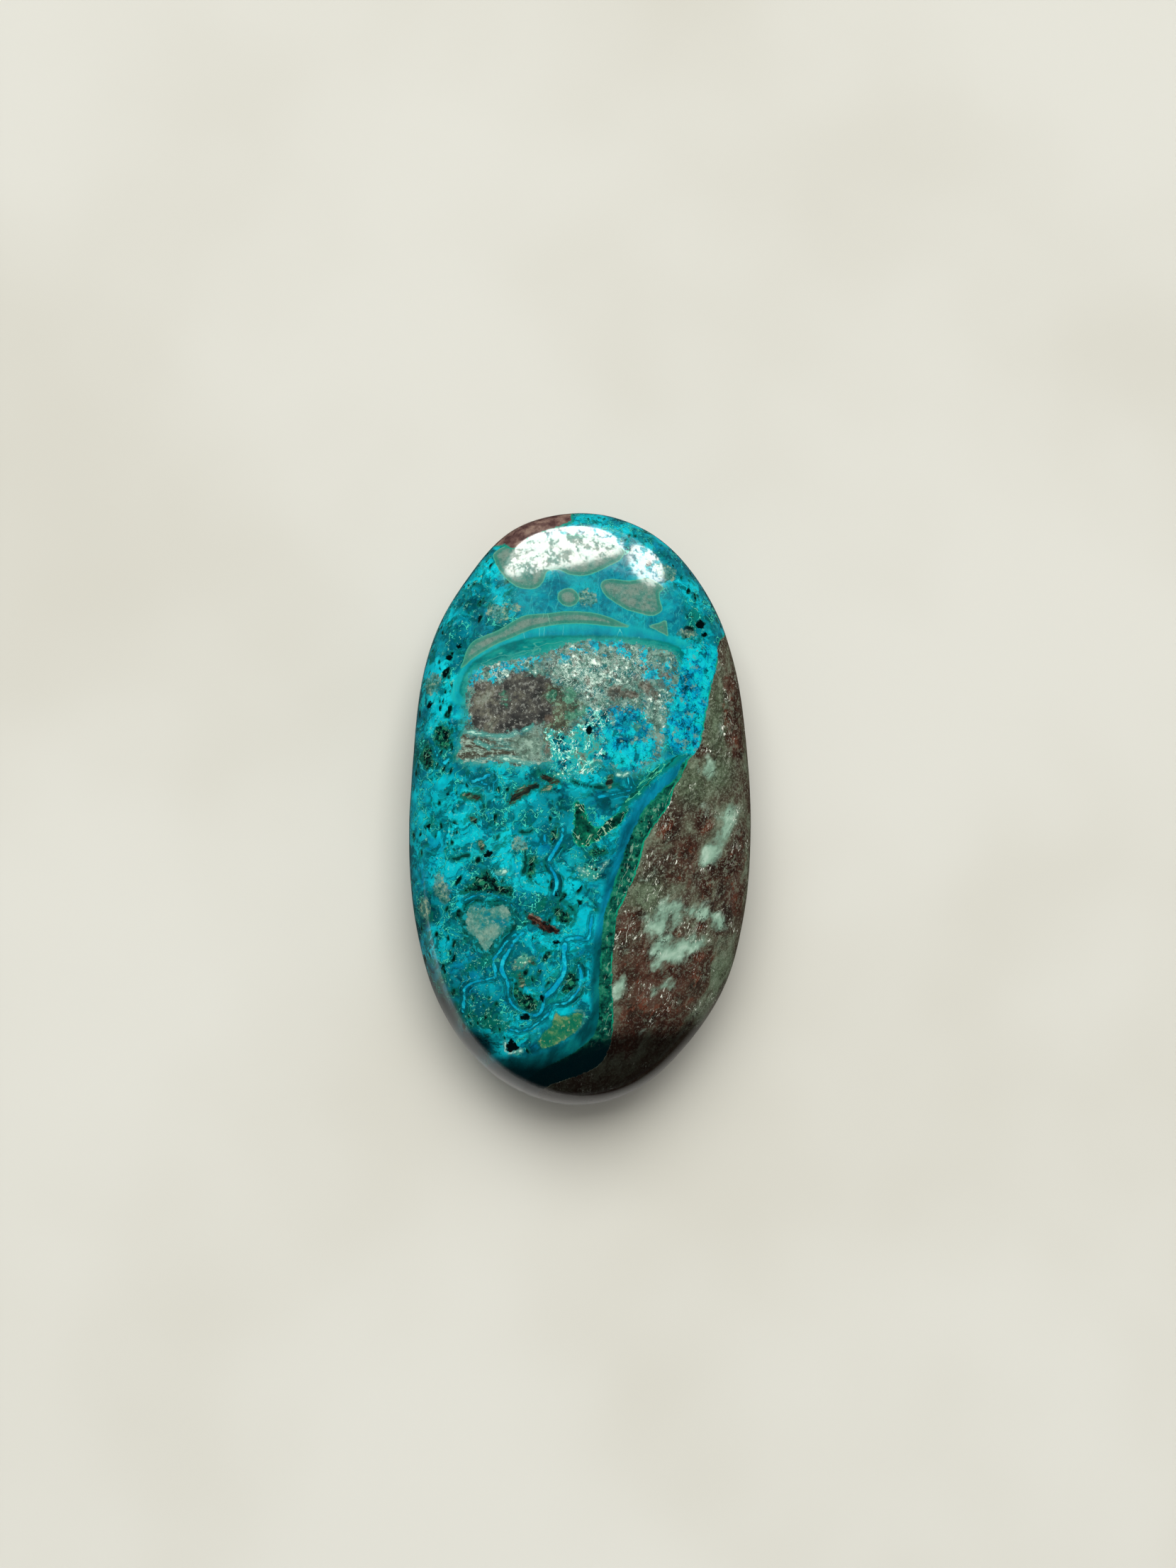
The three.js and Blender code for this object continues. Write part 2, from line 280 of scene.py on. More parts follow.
# Veins are open lines: half a width, then the points that the vein runs through.
LINES = {
    "light_veins": [
        (0.11, [
            (-1.9, -2.3), (-2.0, -3.0), (-2.5, -3.9), (-2.95, -4.7), (-2.9, -5.2), (-2.55, -5.9),
            (-2.4, -6.6), (-2.6, -7.5),
        ]),
        (0.08, [(-3.3, -2.7), (-3.35, -3.3)]),
        (0.07, [(-9.6, -7.9), (-8.7, -7.5), (-7.8, -7.35), (-7.0, -7.6), (-6.2, -8.0), (-5.7, -8.6)]),
        (0.11, [
            (-5.0, -10.4), (-5.7, -11.2), (-6.2, -12.0), (-6.6, -12.8), (-6.6, -13.5), (-6.15, -14.3),
            (-6.1, -15.2), (-5.7, -16.1), (-4.9, -16.6), (-4.0, -16.9), (-3.5, -16.5), (-3.3, -15.7),
        ]),
        (0.08, [
            (-5.6, -10.5), (-6.4, -11.3), (-6.9, -12.0), (-7.3, -12.6), (-7.15, -13.3), (-7.2, -13.9),
            (-8.0, -14.1), (-8.8, -14.3), (-9.5, -14.8), (-9.5, -15.5), (-9.6, -16.6),
        ]),
        (0.16, [
            (-3.1, -15.3), (-2.6, -14.8), (-2.0, -14.0), (-1.7, -13.2), (-1.8, -12.2), (-1.7, -11.4),
        ]),
        (0.08, [
            (-0.6, -13.0), (-0.4, -13.8), (-0.5, -14.7), (-1.0, -15.4), (-1.6, -15.9), (-2.6, -16.1),
            (-3.0, -16.8), (-3.9, -17.6), (-5.0, -18.1), (-5.9, -18.0),
        ]),
        (0.07, [(0.12, -13.4), (0.2, -14.1), (0.25, -14.7)]),
        (0.06, [(-11.9, 4.0), (-11.6, 3.4), (-11.2, 3.0), (-10.9, 3.3)]),
        (0.06, [(-9.2, 2.0), (-9.0, 1.4), (-8.5, 1.7), (-8.2, 1.3), (-7.8, 1.2), (-7.7, 0.8)]),
        (0.06, [(-8.2, 1.7), (-7.8, 2.0), (-7.4, 1.8)]),
        (0.08, [(-1.6, -11.0), (-0.8, -10.8), (0.1, -10.9), (0.3, -10.0), (0.4, -9.0)]),
        (0.05, [(3.2, 1.8), (3.5, 1.1), (4.1, 0.6)]),
        (0.05, [(0.9, 0.25), (2.2, 0.5), (3.4, 0.8)]),
    ],
    "white_veins": [
        (0.05, [(2.4, 2.05), (2.9, 2.0), (3.3, 2.2)]),
        (0.05, [(-0.6, -5.4), (-0.1, -5.7), (0.4, -5.9), (0.9, -5.7), (1.2, -5.3), (1.5, -4.9)]),
        (0.05, [(-6.2, -19.0), (-6.25, -19.5), (-6.1, -19.85), (-5.5, -19.75), (-5.1, -19.7)]),
        (0.05, [(-0.75, -16.55), (-0.35, -16.55), (-0.15, -16.9), (-0.3, -17.5), (-0.45, -17.9)]),
        (0.03, [(-6.7, 3.3), (-5.9, 3.1), (-5.0, 2.9), (-4.4, 2.9)]),
        (0.03, [
            (-9.6, 5.45), (-8.6, 5.3), (-7.6, 5.1), (-6.4, 5.05), (-5.6, 5.25), (-4.8, 5.6), (-4.3, 5.9),
        ]),
        (0.05, [(-8.8, 4.7), (-8.2, 4.4), (-7.7, 4.1)]),
        (0.03, [(-8.9, 2.95), (-8.5, 3.0)]),
        (0.05, [(-7.1, -5.7), (-6.7, -5.8), (-6.4, -5.6)]),
    ],
    "dark_veins": [
        (0.1, [
            (-1.9, -3.6), (-2.5, -4.3), (-3.3, -4.8), (-3.0, -5.6), (-2.2, -6.0), (-2.1, -6.8),
            (-2.2, -7.6),
        ]),
        (0.14, [(-5.6, -8.4), (-5.5, -9.2), (-5.8, -10.2), (-6.4, -11.0), (-6.8, -11.9)]),
        (0.12, [(-9.6, -8.6), (-9.3, -8.05), (-8.4, -7.9), (-7.4, -7.95), (-6.4, -7.9), (-5.8, -8.3)]),
        (0.09, [
            (-0.8, -12.6), (-0.2, -13.2), (-0.1, -14.2), (-0.4, -15.2), (-1.2, -15.9), (-2.2, -16.0),
        ]),
        (0.1, [(-6.0, -11.9), (-6.4, -12.6), (-6.9, -13.3)]),
        (0.08, [(-10.6, -4.5), (-10.2, -4.65), (-9.8, -4.4), (-9.3, -4.35)]),
        (0.09, [(-1.2, 1.6), (-0.6, 1.2), (0.4, 1.1), (1.4, 1.05), (2.4, 1.3)]),
        (0.12, [(-4.3, -2.4), (-4.8, -2.6), (-5.2, -2.5)]),
        (0.12, [(-4.9, -4.1), (-4.8, -5.0), (-5.0, -5.8)]),
        (0.08, [(-1.8, -8.0), (-1.2, -8.5), (-0.9, -9.2), (-1.2, -9.9)]),
    ],
}
# Soft zones: x, y, radius and weight of each patch.
ZONES = {
    "bright": [
        (-8.6, -3.4, 3.2, 0.75), (-10.0, -0.4, 2.4, 0.45), (-12.0, 9.5, 2.4, 0.8), (-11.0, 7.0, 1.6, 0.7),
        (-5.8, -1.8, 1.8, 0.5), (-6.0, 2.6, 1.4, 0.8), (0.0, -9.0, 1.3, 1.7), (-1.0, 1.9, 1.8, 0.9),
        (-1.9, -13.4, 0.8, 1.5), (-5.0, -17.4, 2.0, 0.6), (0.0, -15.8, 0.8, 0.8), (-7.6, 18.4, 1.0, 0.9),
        (9.3, 11.2, 1.3, 1.0), (-12.1, 10.6, 0.9, 1.6), (-9.4, 15.4, 1.4, 0.4), (-4.0, -10.8, 1.2, 0.8),
        (-2.0, -6.0, 1.0, 0.5), (-8.9, -11.6, 0.8, 0.8), (-1.5, -4.5, 1.2, 0.6), (8.5, 17.2, 1.0, 0.5),
    ],
    # Mostly at the wide end: the stone's own dark navy, laid on together with painted shade where the face
    # turns away from the light.
    "dark": [
        (-11.2, 1.7, 1.5, 0.4), (-6.4, -22.6, 2.6, 1.3), (-10.0, -19.4, 2.4, 1.1),
        (-2.0, -23.4, 3.2, 1.8), (-11.6, -16.4, 1.8, 0.8), (-7.9, -19.0, 1.2, 0.6),
        (1.8, -22.6, 2.6, 1.4), (5.6, -22.4, 3.0, 1.5), (9.4, -19.0, 2.4, 0.9), (-13.0, -11.0, 1.4, 0.4),
        (5.0, -20.6, 3.0, 0.8), (1.8, -21.4, 2.4, 0.9), (-12.4, -14.2, 1.6, 0.7),
        (-11.0, -16.6, 1.4, 0.4),
    ],
    "specked": [
        (-11.0, 9.0, 3.0, 1.0), (-9.5, 15.5, 3.0, 0.9), (-8.0, -3.0, 4.5, 0.9), (-10.5, -10.5, 3.0, 0.8),
        (8.6, 16.0, 2.0, 0.8), (-4.0, -12.5, 2.2, 0.8), (-9.0, 17.8, 2.0, 0.7), (-4.5, -7.0, 2.5, 0.7),
        (-11.5, 4.5, 2.0, 0.8), (-8.5, -14.0, 2.4, 0.8), (-7.6, -16.8, 1.6, 0.8), (9.0, 13.6, 1.0, 0.6),
    ],
    "calm": [
        (3.0, -6.0, 1.6, 0.8), (1.5, 0.2, 1.6, 0.7), (-2.0, 0.0, 1.8, 0.6), (2.0, 15.8, 2.6, 0.5),
        (-3.4, 16.0, 1.6, 0.4), (7.4, 14.8, 1.0, 0.6), (0.0, -10.0, 1.4, 0.8), (-0.5, -5.0, 1.0, 0.4),
        (-2.8, -19.9, 2.0, 0.9),
    ],
    "milky": [
        (0.4, 9.8, 1.7, 1.0), (-7.0, 10.5, 1.1, 1.0), (3.6, 10.9, 1.8, 0.6), (5.6, 7.6, 1.2, 0.5),
        (-1.6, 10.6, 1.4, 0.8), (-6.9, 4.3, 0.7, 0.8), (-4.6, 3.0, 0.9, 0.8), (1.0, 6.8, 0.9, 0.8),
        (0.2, 2.6, 0.9, 0.9), (-9.2, 7.4, 0.7, 0.4),
    ],
    "azure_dust": [
        (-4.6, 11.2, 1.1, 1.0), (-2.0, 12.0, 1.1, 0.8), (0.4, 12.4, 1.2, 0.9), (2.6, 12.3, 1.2, 1.0),
        (4.8, 11.7, 1.2, 0.9), (6.6, 10.6, 1.2, 1.0), (6.9, 9.0, 0.7, 0.7), (-8.3, 9.9, 1.2, 1.4),
        (-6.6, 10.6, 0.9, 0.8), (-9.6, 6.4, 0.7, 1.0), (-7.6, 3.0, 1.3, 0.9), (-5.0, 2.7, 1.2, 0.9),
        (-9.3, 4.4, 0.7, 0.7), (4.0, 3.0, 1.4, 0.7), (5.4, 10.0, 0.8, 1.0), (7.0, 5.6, 0.9, 1.0),
        (6.6, 7.4, 0.7, 0.8), (5.6, 3.9, 0.8, 0.8),
    ],
    "sea": [
        (-1.0, 16.6, 2.6, 1.0), (3.0, 16.0, 2.8, 1.0), (-4.6, 16.0, 1.8, 0.8), (6.6, 14.6, 1.8, 0.8),
        (1.0, 19.4, 2.4, 0.6), (7.4, 16.6, 1.2, 0.5),
    ],
    "low_end": [(1.0, -16.5, 4.0, 1.4), (-3.5, -21.0, 4.0, 1.4), (0.6, -12.0, 2.4, 0.5)],
    # Where the host rock has more bright specks: pale grains, partly painted glints.
    "glints": [
        (6.0, -0.6, 1.6, 1.0), (4.6, -4.8, 1.6, 1.0), (7.6, 4.0, 1.4, 0.6), (9.6, 9.0, 1.6, 0.5),
        (3.4, -10.5, 1.2, 0.8), (10.6, -1.2, 1.4, 0.6),
    ],
    "deep": [
        (-11.0, -15.0, 1.4, 1.2), (-9.6, -17.4, 1.4, 0.9), (-7.8, -16.2, 1.0, 0.6), (-8.2, 0.8, 1.4, 0.7),
        (-11.0, -8.8, 1.2, 0.6), (-2.4, -0.4, 1.8, 1.1), (-3.9, -2.4, 1.4, 1.0), (-2.2, -4.4, 1.2, 0.5),
        (1.6, -6.4, 1.0, 0.6), (-0.4, -7.6, 1.0, 0.5), (-4.3, -4.9, 0.9, 0.8), (-3.0, -1.0, 1.2, 0.7),
        (2.2, 0.7, 1.5, 0.9), (0.6, -0.2, 1.2, 0.8), (-8.6, 2.3, 1.0, 0.6), (-6.4, 0.7, 0.9, 0.5),
        (-10.2, 13.6, 1.0, 0.5), (-9.0, 16.6, 1.4, 0.4), (-5.2, -8.9, 0.9, 0.7), (-2.9, -8.4, 1.2, 0.7),
        (-4.2, -13.4, 1.2, 0.9), (-10.2, -12.6, 1.6, 0.6), (-9.2, -16.0, 1.8, 0.8),
        (-2.4, -19.9, 1.6, 0.8), (-0.4, -3.2, 0.8, 0.3), (8.4, 15.4, 1.0, 0.6), (-12.4, -3.0, 1.0, 0.5),
        (-12.0, -8.0, 1.2, 0.5), (-0.8, -3.4, 0.8, 0.7), (0.4, -4.9, 1.0, 0.5), (-0.9, -10.3, 0.5, 0.5),
        (9.4, 13.9, 0.7, 0.8), (-8.6, -5.4, 0.9, 0.4),
    ],
    "green": [
        (-5.5, -9.6, 1.0, 1.0), (-9.4, -6.6, 1.2, 0.8), (-3.4, -8.0, 0.9, 0.6), (-4.2, -14.4, 1.5, 0.9),
        (-4.3, -5.4, 0.7, 0.7), (-11.8, 5.0, 1.4, 1.0), (-8.0, 1.8, 1.2, 0.7), (-9.0, -12.6, 1.6, 0.7),
        (-6.6, -17.6, 1.0, 0.8), (-8.2, -16.4, 1.6, 1.0), (-10.8, -14.6, 1.4, 0.8),
        (-5.4, -14.4, 1.0, 0.7), (-9.6, -17.6, 1.2, 0.8), (0.0, -5.4, 1.2, 0.6), (-1.2, -9.6, 0.5, 0.6),
        (-0.2, -13.6, 0.9, 0.7), (-3.6, 0.4, 1.2, 0.6), (-10.8, 11.2, 1.2, 0.6), (8.8, 15.2, 1.4, 0.7),
        (-5.6, 15.6, 1.2, 0.4), (-8.4, -4.0, 1.4, 0.4),
    ],
    "cyan_side": [
        (4.2, 3.2, 2.0, 1.0), (1.6, 3.4, 1.4, 0.9), (10.4, 11.0, 2.4, 0.9), (10.6, 6.6, 1.6, 0.9),
        (8.9, 12.2, 1.0, 0.9),
    ],
    "rusty": [
        (5.0, -13.5, 3.0, 0.9), (4.0, -17.0, 2.6, 0.9), (9.0, -15.0, 2.6, 0.7), (3.0, -10.0, 1.4, 0.6),
        (8.4, -4.0, 2.2, 0.5), (12.6, 5.0, 1.4, 0.7), (12.4, -8.0, 1.4, 0.8), (12.0, 9.6, 1.2, 0.6),
    ],
    "heart_top": [(-7.7, -8.4, 1.0, 1.0), (-6.4, -9.8, 0.5, 0.5)],
}
FULL_ZONE = 1.5  # the most that overlapping patches of a zone add up to
FAR = 6.0  # the distance given where a marking isn't drawn at all


# ---------------------------------------------------------------- distances to outlines and veins
def smooth_line(points, closed, steps=6):
    """A Catmull-Rom curve through the points, as an array of points along it."""
    p = np.array(points, float)
    if closed:
        before, start, end, after = np.roll(p, 1, 0), p, np.roll(p, -1, 0), np.roll(p, -2, 0)
    else:
        p = np.vstack([2 * p[0] - p[1], p, 2 * p[-1] - p[-2]])
        before, start, end, after = p[:-3], p[1:-2], p[2:-1], p[3:]
    t = (np.arange(steps) / steps)[None, :, None]
    before, start, end, after = (a[:, None, :] for a in (before, start, end, after))
    curve = 0.5 * (
        2 * start + (end - before) * t + (2 * before - 5 * start + 4 * end - after) * t**2
        + (3 * start - before - 3 * end + after) * t**3
    )
    curve = curve.reshape(-1, 2)
    return curve if closed else np.vstack([curve, p[-2]])


def line_distance(places, start, end):
    """How far each place is from the nearest of the straight pieces from start to end."""
    nearest = np.full(len(places), np.inf)
    for a, b in zip(start, end):
        along = b - a
        share = np.clip((places - a) @ along / max(along @ along, 1e-12), 0, 1)
        gap = places - a - share[:, None] * along
        nearest = np.minimum(nearest, (gap**2).sum(1))
    return np.sqrt(nearest)


def outline_distance(places, points):
    """Distance to a closed outline, below zero inside it."""
    start = smooth_line(points, closed=True)
    end = np.roll(start, -1, 0)
    inside = np.zeros(len(places), bool)
    x, y = places[:, 0], places[:, 1]
    for a, b in zip(start, end):
        spans = (a[1] > y) != (b[1] > y)
        rise = b[1] - a[1]
        if rise != 0:
            inside ^= spans & (x < (b[0] - a[0]) * (y - a[1]) / rise + a[0])
    near = near_box(places, start)
    far = np.full(len(places), FAR)
    far[near] = line_distance(places[near], start, end)
    return np.where(inside, -far, far)


def near_box(places, points, reach=2.5):
    """Which places are within reach of the box round the points."""
    low, high = points.min(0) - reach, points.max(0) + reach
    return ((places >= low) & (places <= high)).all(1)


def distance_to_outlines(places, outlines):
    """Distance to the nearest of several closed outlines, below zero inside any of them."""
    nearest = np.full(len(places), FAR)
    for points in outlines:
        nearest = np.minimum(nearest, outline_distance(places, points))
    return nearest


def distance_to_veins(places, veins):
    """Distance to the edge of the nearest vein, below zero inside it."""
    nearest = np.full(len(places), FAR)
    for half_width, points in veins:
        curve = smooth_line(points, closed=False)
        near = near_box(places, curve, 1.0)
        gap = line_distance(places[near], curve[:-1], curve[1:]) - half_width
        nearest[near] = np.minimum(nearest[near], gap)
    return nearest


def zone_weight(places, patches):
    """A soft weight round the patches' middles, up to FULL_ZONE where they overlap."""
    weight = np.zeros(len(places))
    for x, y, radius, strength in patches:
        square = (places[:, 0] - x) ** 2 + (places[:, 1] - y) ** 2
        weight += strength * np.exp(-square / radius**2)
    return np.clip(weight, 0, FULL_ZONE)


# ---------------------------------------------------------------- the stone's mesh
def outline_radius():
    """The CAD stone's widest ring as radius by angle, in mm, smoothed through its facets."""
    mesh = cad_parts["stone"].data
    corners = np.empty(len(mesh.vertices) * 3, np.float32)
    mesh.vertices.foreach_get("co", corners)
    corners = corners.reshape(-1, 3) / MM
    near_girdle = 0.02
    ring = corners[np.abs(corners[:, 2] - GIRDLE_HEIGHT) < near_girdle]
    angle = np.arctan2(ring[:, 1], ring[:, 0])
    radius = np.hypot(ring[:, 0], ring[:, 1])
    order = np.argsort(angle)
    samples = 1024
    even = np.arange(samples) / samples * math.tau
    even_radius = np.interp(even, angle[order], radius[order], period=math.tau)
    waves = np.fft.rfft(even_radius)[:OUTLINE_WAVES] / samples

    def radius_at(turn):
        """The outline's radius at an angle, as the sum of its waves."""
        total = np.full(turn.shape, waves[0].real)
        for number in range(1, OUTLINE_WAVES):
            wave = waves[number] * np.exp(1j * number * turn)
            total += 2 * wave.real
        return total * INSET

    return radius_at


def profile(kind):
    """Distance along the surface from the middle (0) to the girdle (1), share of the outline and height."""
    steps = 400
    turn = np.linspace(0, math.pi / 2, steps)
    rise = CAD_BOX[1][2] / MM - GIRDLE_HEIGHT
    if kind == "crown":
        share = np.sin(turn) ** (2 / CROWN_POWER)
        height = GIRDLE_HEIGHT + rise * np.cos(turn) ** (2 / CROWN_POWER)
    else:
        share = np.concatenate([[0], FLAT_SHARE + (1 - FLAT_SHARE) * np.sin(turn)])
        height = np.concatenate([[0], GIRDLE_HEIGHT * (1 - np.cos(turn))])
    mean_radius = 0.25 * (CAD_BOX[1][0] - CAD_BOX[0][0] + CAD_BOX[1][1] - CAD_BOX[0][1]) / MM
    step = np.hypot(np.diff(share) * mean_radius, np.diff(height))
    distance = np.concatenate([[0], np.cumsum(step)])
    return distance / distance[-1], share, height


def disc_grid():
    """A square grid bent into a disc: how far out (0 to 1) and at which turn each grid point lies."""
    across = np.linspace(-1, 1, QUADS_ACROSS + 1)
    along = np.linspace(-1, 1, QUADS_ALONG + 1)
    u, v = np.meshgrid(across, along)
    sideways = np.abs(u) >= np.abs(v)
    out = np.where(sideways, np.abs(u), np.abs(v))
    safe_u = np.where(u == 0, 1, u)
    safe_v = np.where(v == 0, 1, v)
    turn = np.where(sideways, math.pi / 4 * v / safe_u, math.pi / 2 - math.pi / 4 * u / safe_v)
    turn = np.where(sideways & (u < 0), turn + math.pi, turn)
    turn = np.where(~sideways & (v < 0), turn + math.pi, turn)
    return u, v, out, turn


def sheet_points(kind, out, turn, radius_at):
    """The points of the crown or of the back, in mm."""
    half_width = (CAD_BOX[1][0] - CAD_BOX[0][0]) / 2 / MM
    half_length = (CAD_BOX[1][1] - CAD_BOX[0][1]) / 2 / MM
    angle = np.arctan2(half_length * np.sin(turn), half_width * np.cos(turn))
    distance, share, height = profile(kind)
    reach = np.interp(out, distance, share) * radius_at(angle)
    return np.stack([reach * np.cos(angle), reach * np.sin(angle), np.interp(out, distance, height)], -1)


def relief(places, marks):
    """How far each point sinks below the ideal surface, in mm: hand-ground waves, soft rock and pits."""
    wave_depth = 0.06
    grain_depth = 0.008
    sink = np.zeros(len(places))
    for i, (x, y, z) in enumerate(places):
        broad = noise.noise(Vector((x * 0.11, y * 0.09, z * 0.1)))
        fine = noise.noise(Vector((x * 0.45, y * 0.45, z * 0.45 + 7)))
        sink[i] = wave_depth + wave_depth * broad + grain_depth * fine
    sink = np.maximum(sink, 0)
    for name, slope, depth in (("host_rock", 0.4, 0.015), ("pocket", 0.5, 0.01), ("pits", 0.25, 0.05)):
        sink = sink + depth * np.clip(0.5 - marks[name] / slope, 0, 1)
    return sink


def quads(index):
    """The grid's faces, from each grid point's number."""
    corners = [index[:-1, :-1], index[:-1, 1:], index[1:, 1:], index[1:, :-1]]
    return np.stack([c.ravel() for c in corners], -1)


def build_stone():
    """The whole outside: a crown and a back that share their rim, with every marking as an attribute."""
    radius_at = outline_radius()
    u, v, out, turn = disc_grid()
    crown = sheet_points("crown", out, turn, radius_at)
    back = sheet_points("back", out, turn, radius_at)
    rows, columns = out.shape
    crown_index = np.arange(rows * columns).reshape(rows, columns)
    rim = np.zeros((rows, columns), bool)
    rim[0, :] = rim[-1, :] = rim[:, 0] = rim[:, -1] = True
    back_index = np.where(rim, crown_index, -1)
    back_index[~rim] = rows * columns + np.arange((~rim).sum())
    places = np.vstack([crown.reshape(-1, 3), back[~rim]])

    faces = np.vstack([quads(crown_index), quads(back_index)[:, ::-1]])
    marks = marking_attributes(places, rows * columns)
    mesh = bpy.data.meshes.new("stone_surface")
    normals = rough_normals(places, faces)
    sunk = places - normals * relief(places, marks)[:, None]
    mesh.from_pydata((sunk * MM).tolist(), [], faces.tolist())
    mesh.update()
    mesh.shade_smooth()
    for name, values in marks.items():
        attribute = mesh.attributes.new(name, "FLOAT", "POINT")
        attribute.data.foreach_set("value", values.astype(np.float32))
    lay_out_uv(mesh, u, v, crown_index)
    stone = bpy.data.objects.new("polished_face_and_back", mesh)
    bpy.context.scene.collection.objects.link(stone)
    return stone


def rough_normals(places, faces):
    """The outward direction at each point, from the faces round it."""
    a, b, c, d = (places[faces[:, i]] for i in range(4))
    across = np.cross(c - a, d - b)
    total = np.zeros_like(places)
    for i in range(4):
        np.add.at(total, faces[:, i], across)
    return total / np.linalg.norm(total, axis=1)[:, None]


def lay_out_uv(mesh, u, v, index):
    """Two islands side by side, for baking: the crown on the left and the back on the right."""
    margin = 0.004
    half_sheet = 0.5
    across = margin + (u.ravel() + 1) / 2 * (half_sheet - 2 * margin)
    along = margin + (v.ravel() + 1) / 2 * (1 - 2 * margin)
    crown = np.stack([across, along], -1)
    back = np.stack([half_sheet + across, along], -1)
    corners = quads(index)
    both = np.concatenate([crown[corners], back[corners[:, ::-1]]])
    layer = mesh.uv_layers.new(name="OFBake")
    layer.data.foreach_set("uv", both.astype(np.float32).ravel())


# The markings that go right through the stone and show on its back too
THROUGH = ("host_rock", "selvage", "deep_blue", "tip_rock", "pale_rock", "red_rock", "olive_rock")
DIP = np.array([0.55, 0.9])  # how far the layers shift for each mm below the girdle


def marking_attributes(places, crown_points):
    """Each marking's distance, or a zone's weight, at every point of the surface."""
    depth = np.clip(GIRDLE_HEIGHT - places[:, 2], 0, None)
    dipped = places[:, :2] + depth[:, None] * DIP
    on_face = np.arange(len(places)) < crown_points
    marks = {}
    for name, outlines in OUTLINES.items():
        if name in THROUGH:
            marks[name] = distance_to_outlines(dipped, outlines)
            continue
        marks[name] = np.full(len(places), FAR)
        marks[name][on_face] = distance_to_outlines(places[on_face, :2], outlines)
    for name, veins in LINES.items():
        marks[name] = np.full(len(places), FAR)
        marks[name][on_face] = distance_to_veins(places[on_face, :2], veins)
    for name, patches in ZONES.items():
        marks[name] = zone_weight(dipped, patches)
    return marks


# ---------------------------------------------------------------- shading maths
class Field:
    """A value in a node tree, so that shading maths reads as plain sums."""

    def __init__(self, tree, socket):
        self.tree = tree
        self.socket = socket

    def math(self, operation, *others):
        """The result of one operation on this value and the others."""
        node = self.tree.nodes.new("ShaderNodeMath")
        node.operation = operation
        for slot, value in zip(node.inputs, (self, *others)):
            feed(self.tree, value, slot)
        return Field(self.tree, node.outputs[0])

    def __add__(self, other):
        return self.math("ADD", other)

    def __radd__(self, other):
        return self.math("ADD", other)

    def __sub__(self, other):
        return self.math("SUBTRACT", other)

    def __rsub__(self, other):
        return (self * -1) + other

    def __mul__(self, other):
        return self.math("MULTIPLY", other)

    __rmul__ = __mul__

    def __neg__(self):
        return self * -1

    def size(self):
        """The value without its sign."""
        return self.math("ABSOLUTE")

    def ramp(self, low, high):
        """0 at low and 1 at high, with soft ends; low may be above high."""
        node = self.tree.nodes.new("ShaderNodeMapRange")
        node.interpolation_type = "SMOOTHSTEP"
        node.clamp = False  # a smooth step stops at its ends by itself
        turned = low > high
        feed(self.tree, self, node.inputs["Value"])
        node.inputs["From Min"].default_value = min(low, high)
        node.inputs["From Max"].default_value = max(low, high)
        node.inputs["To Min"].default_value = 1.0 if turned else 0.0
        node.inputs["To Max"].default_value = 0.0 if turned else 1.0
        return Field(self.tree, node.outputs["Result"])


def feed(tree, value, socket):
    """Links a field to a socket, or sets the socket to a plain number or colour."""
    if isinstance(value, Field):
        tree.links.new(value.socket, socket)
    else:
        socket.default_value = value


def colour(code):
    """A colour from its sRGB hex code, as linear RGBA."""
    parts = [int(code[i:i + 2], 16) / 255 for i in (1, 3, 5)]
    linear = [c / 12.92 if c <= 0.04045 else ((c + 0.055) / 1.055) ** 2.4 for c in parts]
    return (*linear, 1.0)


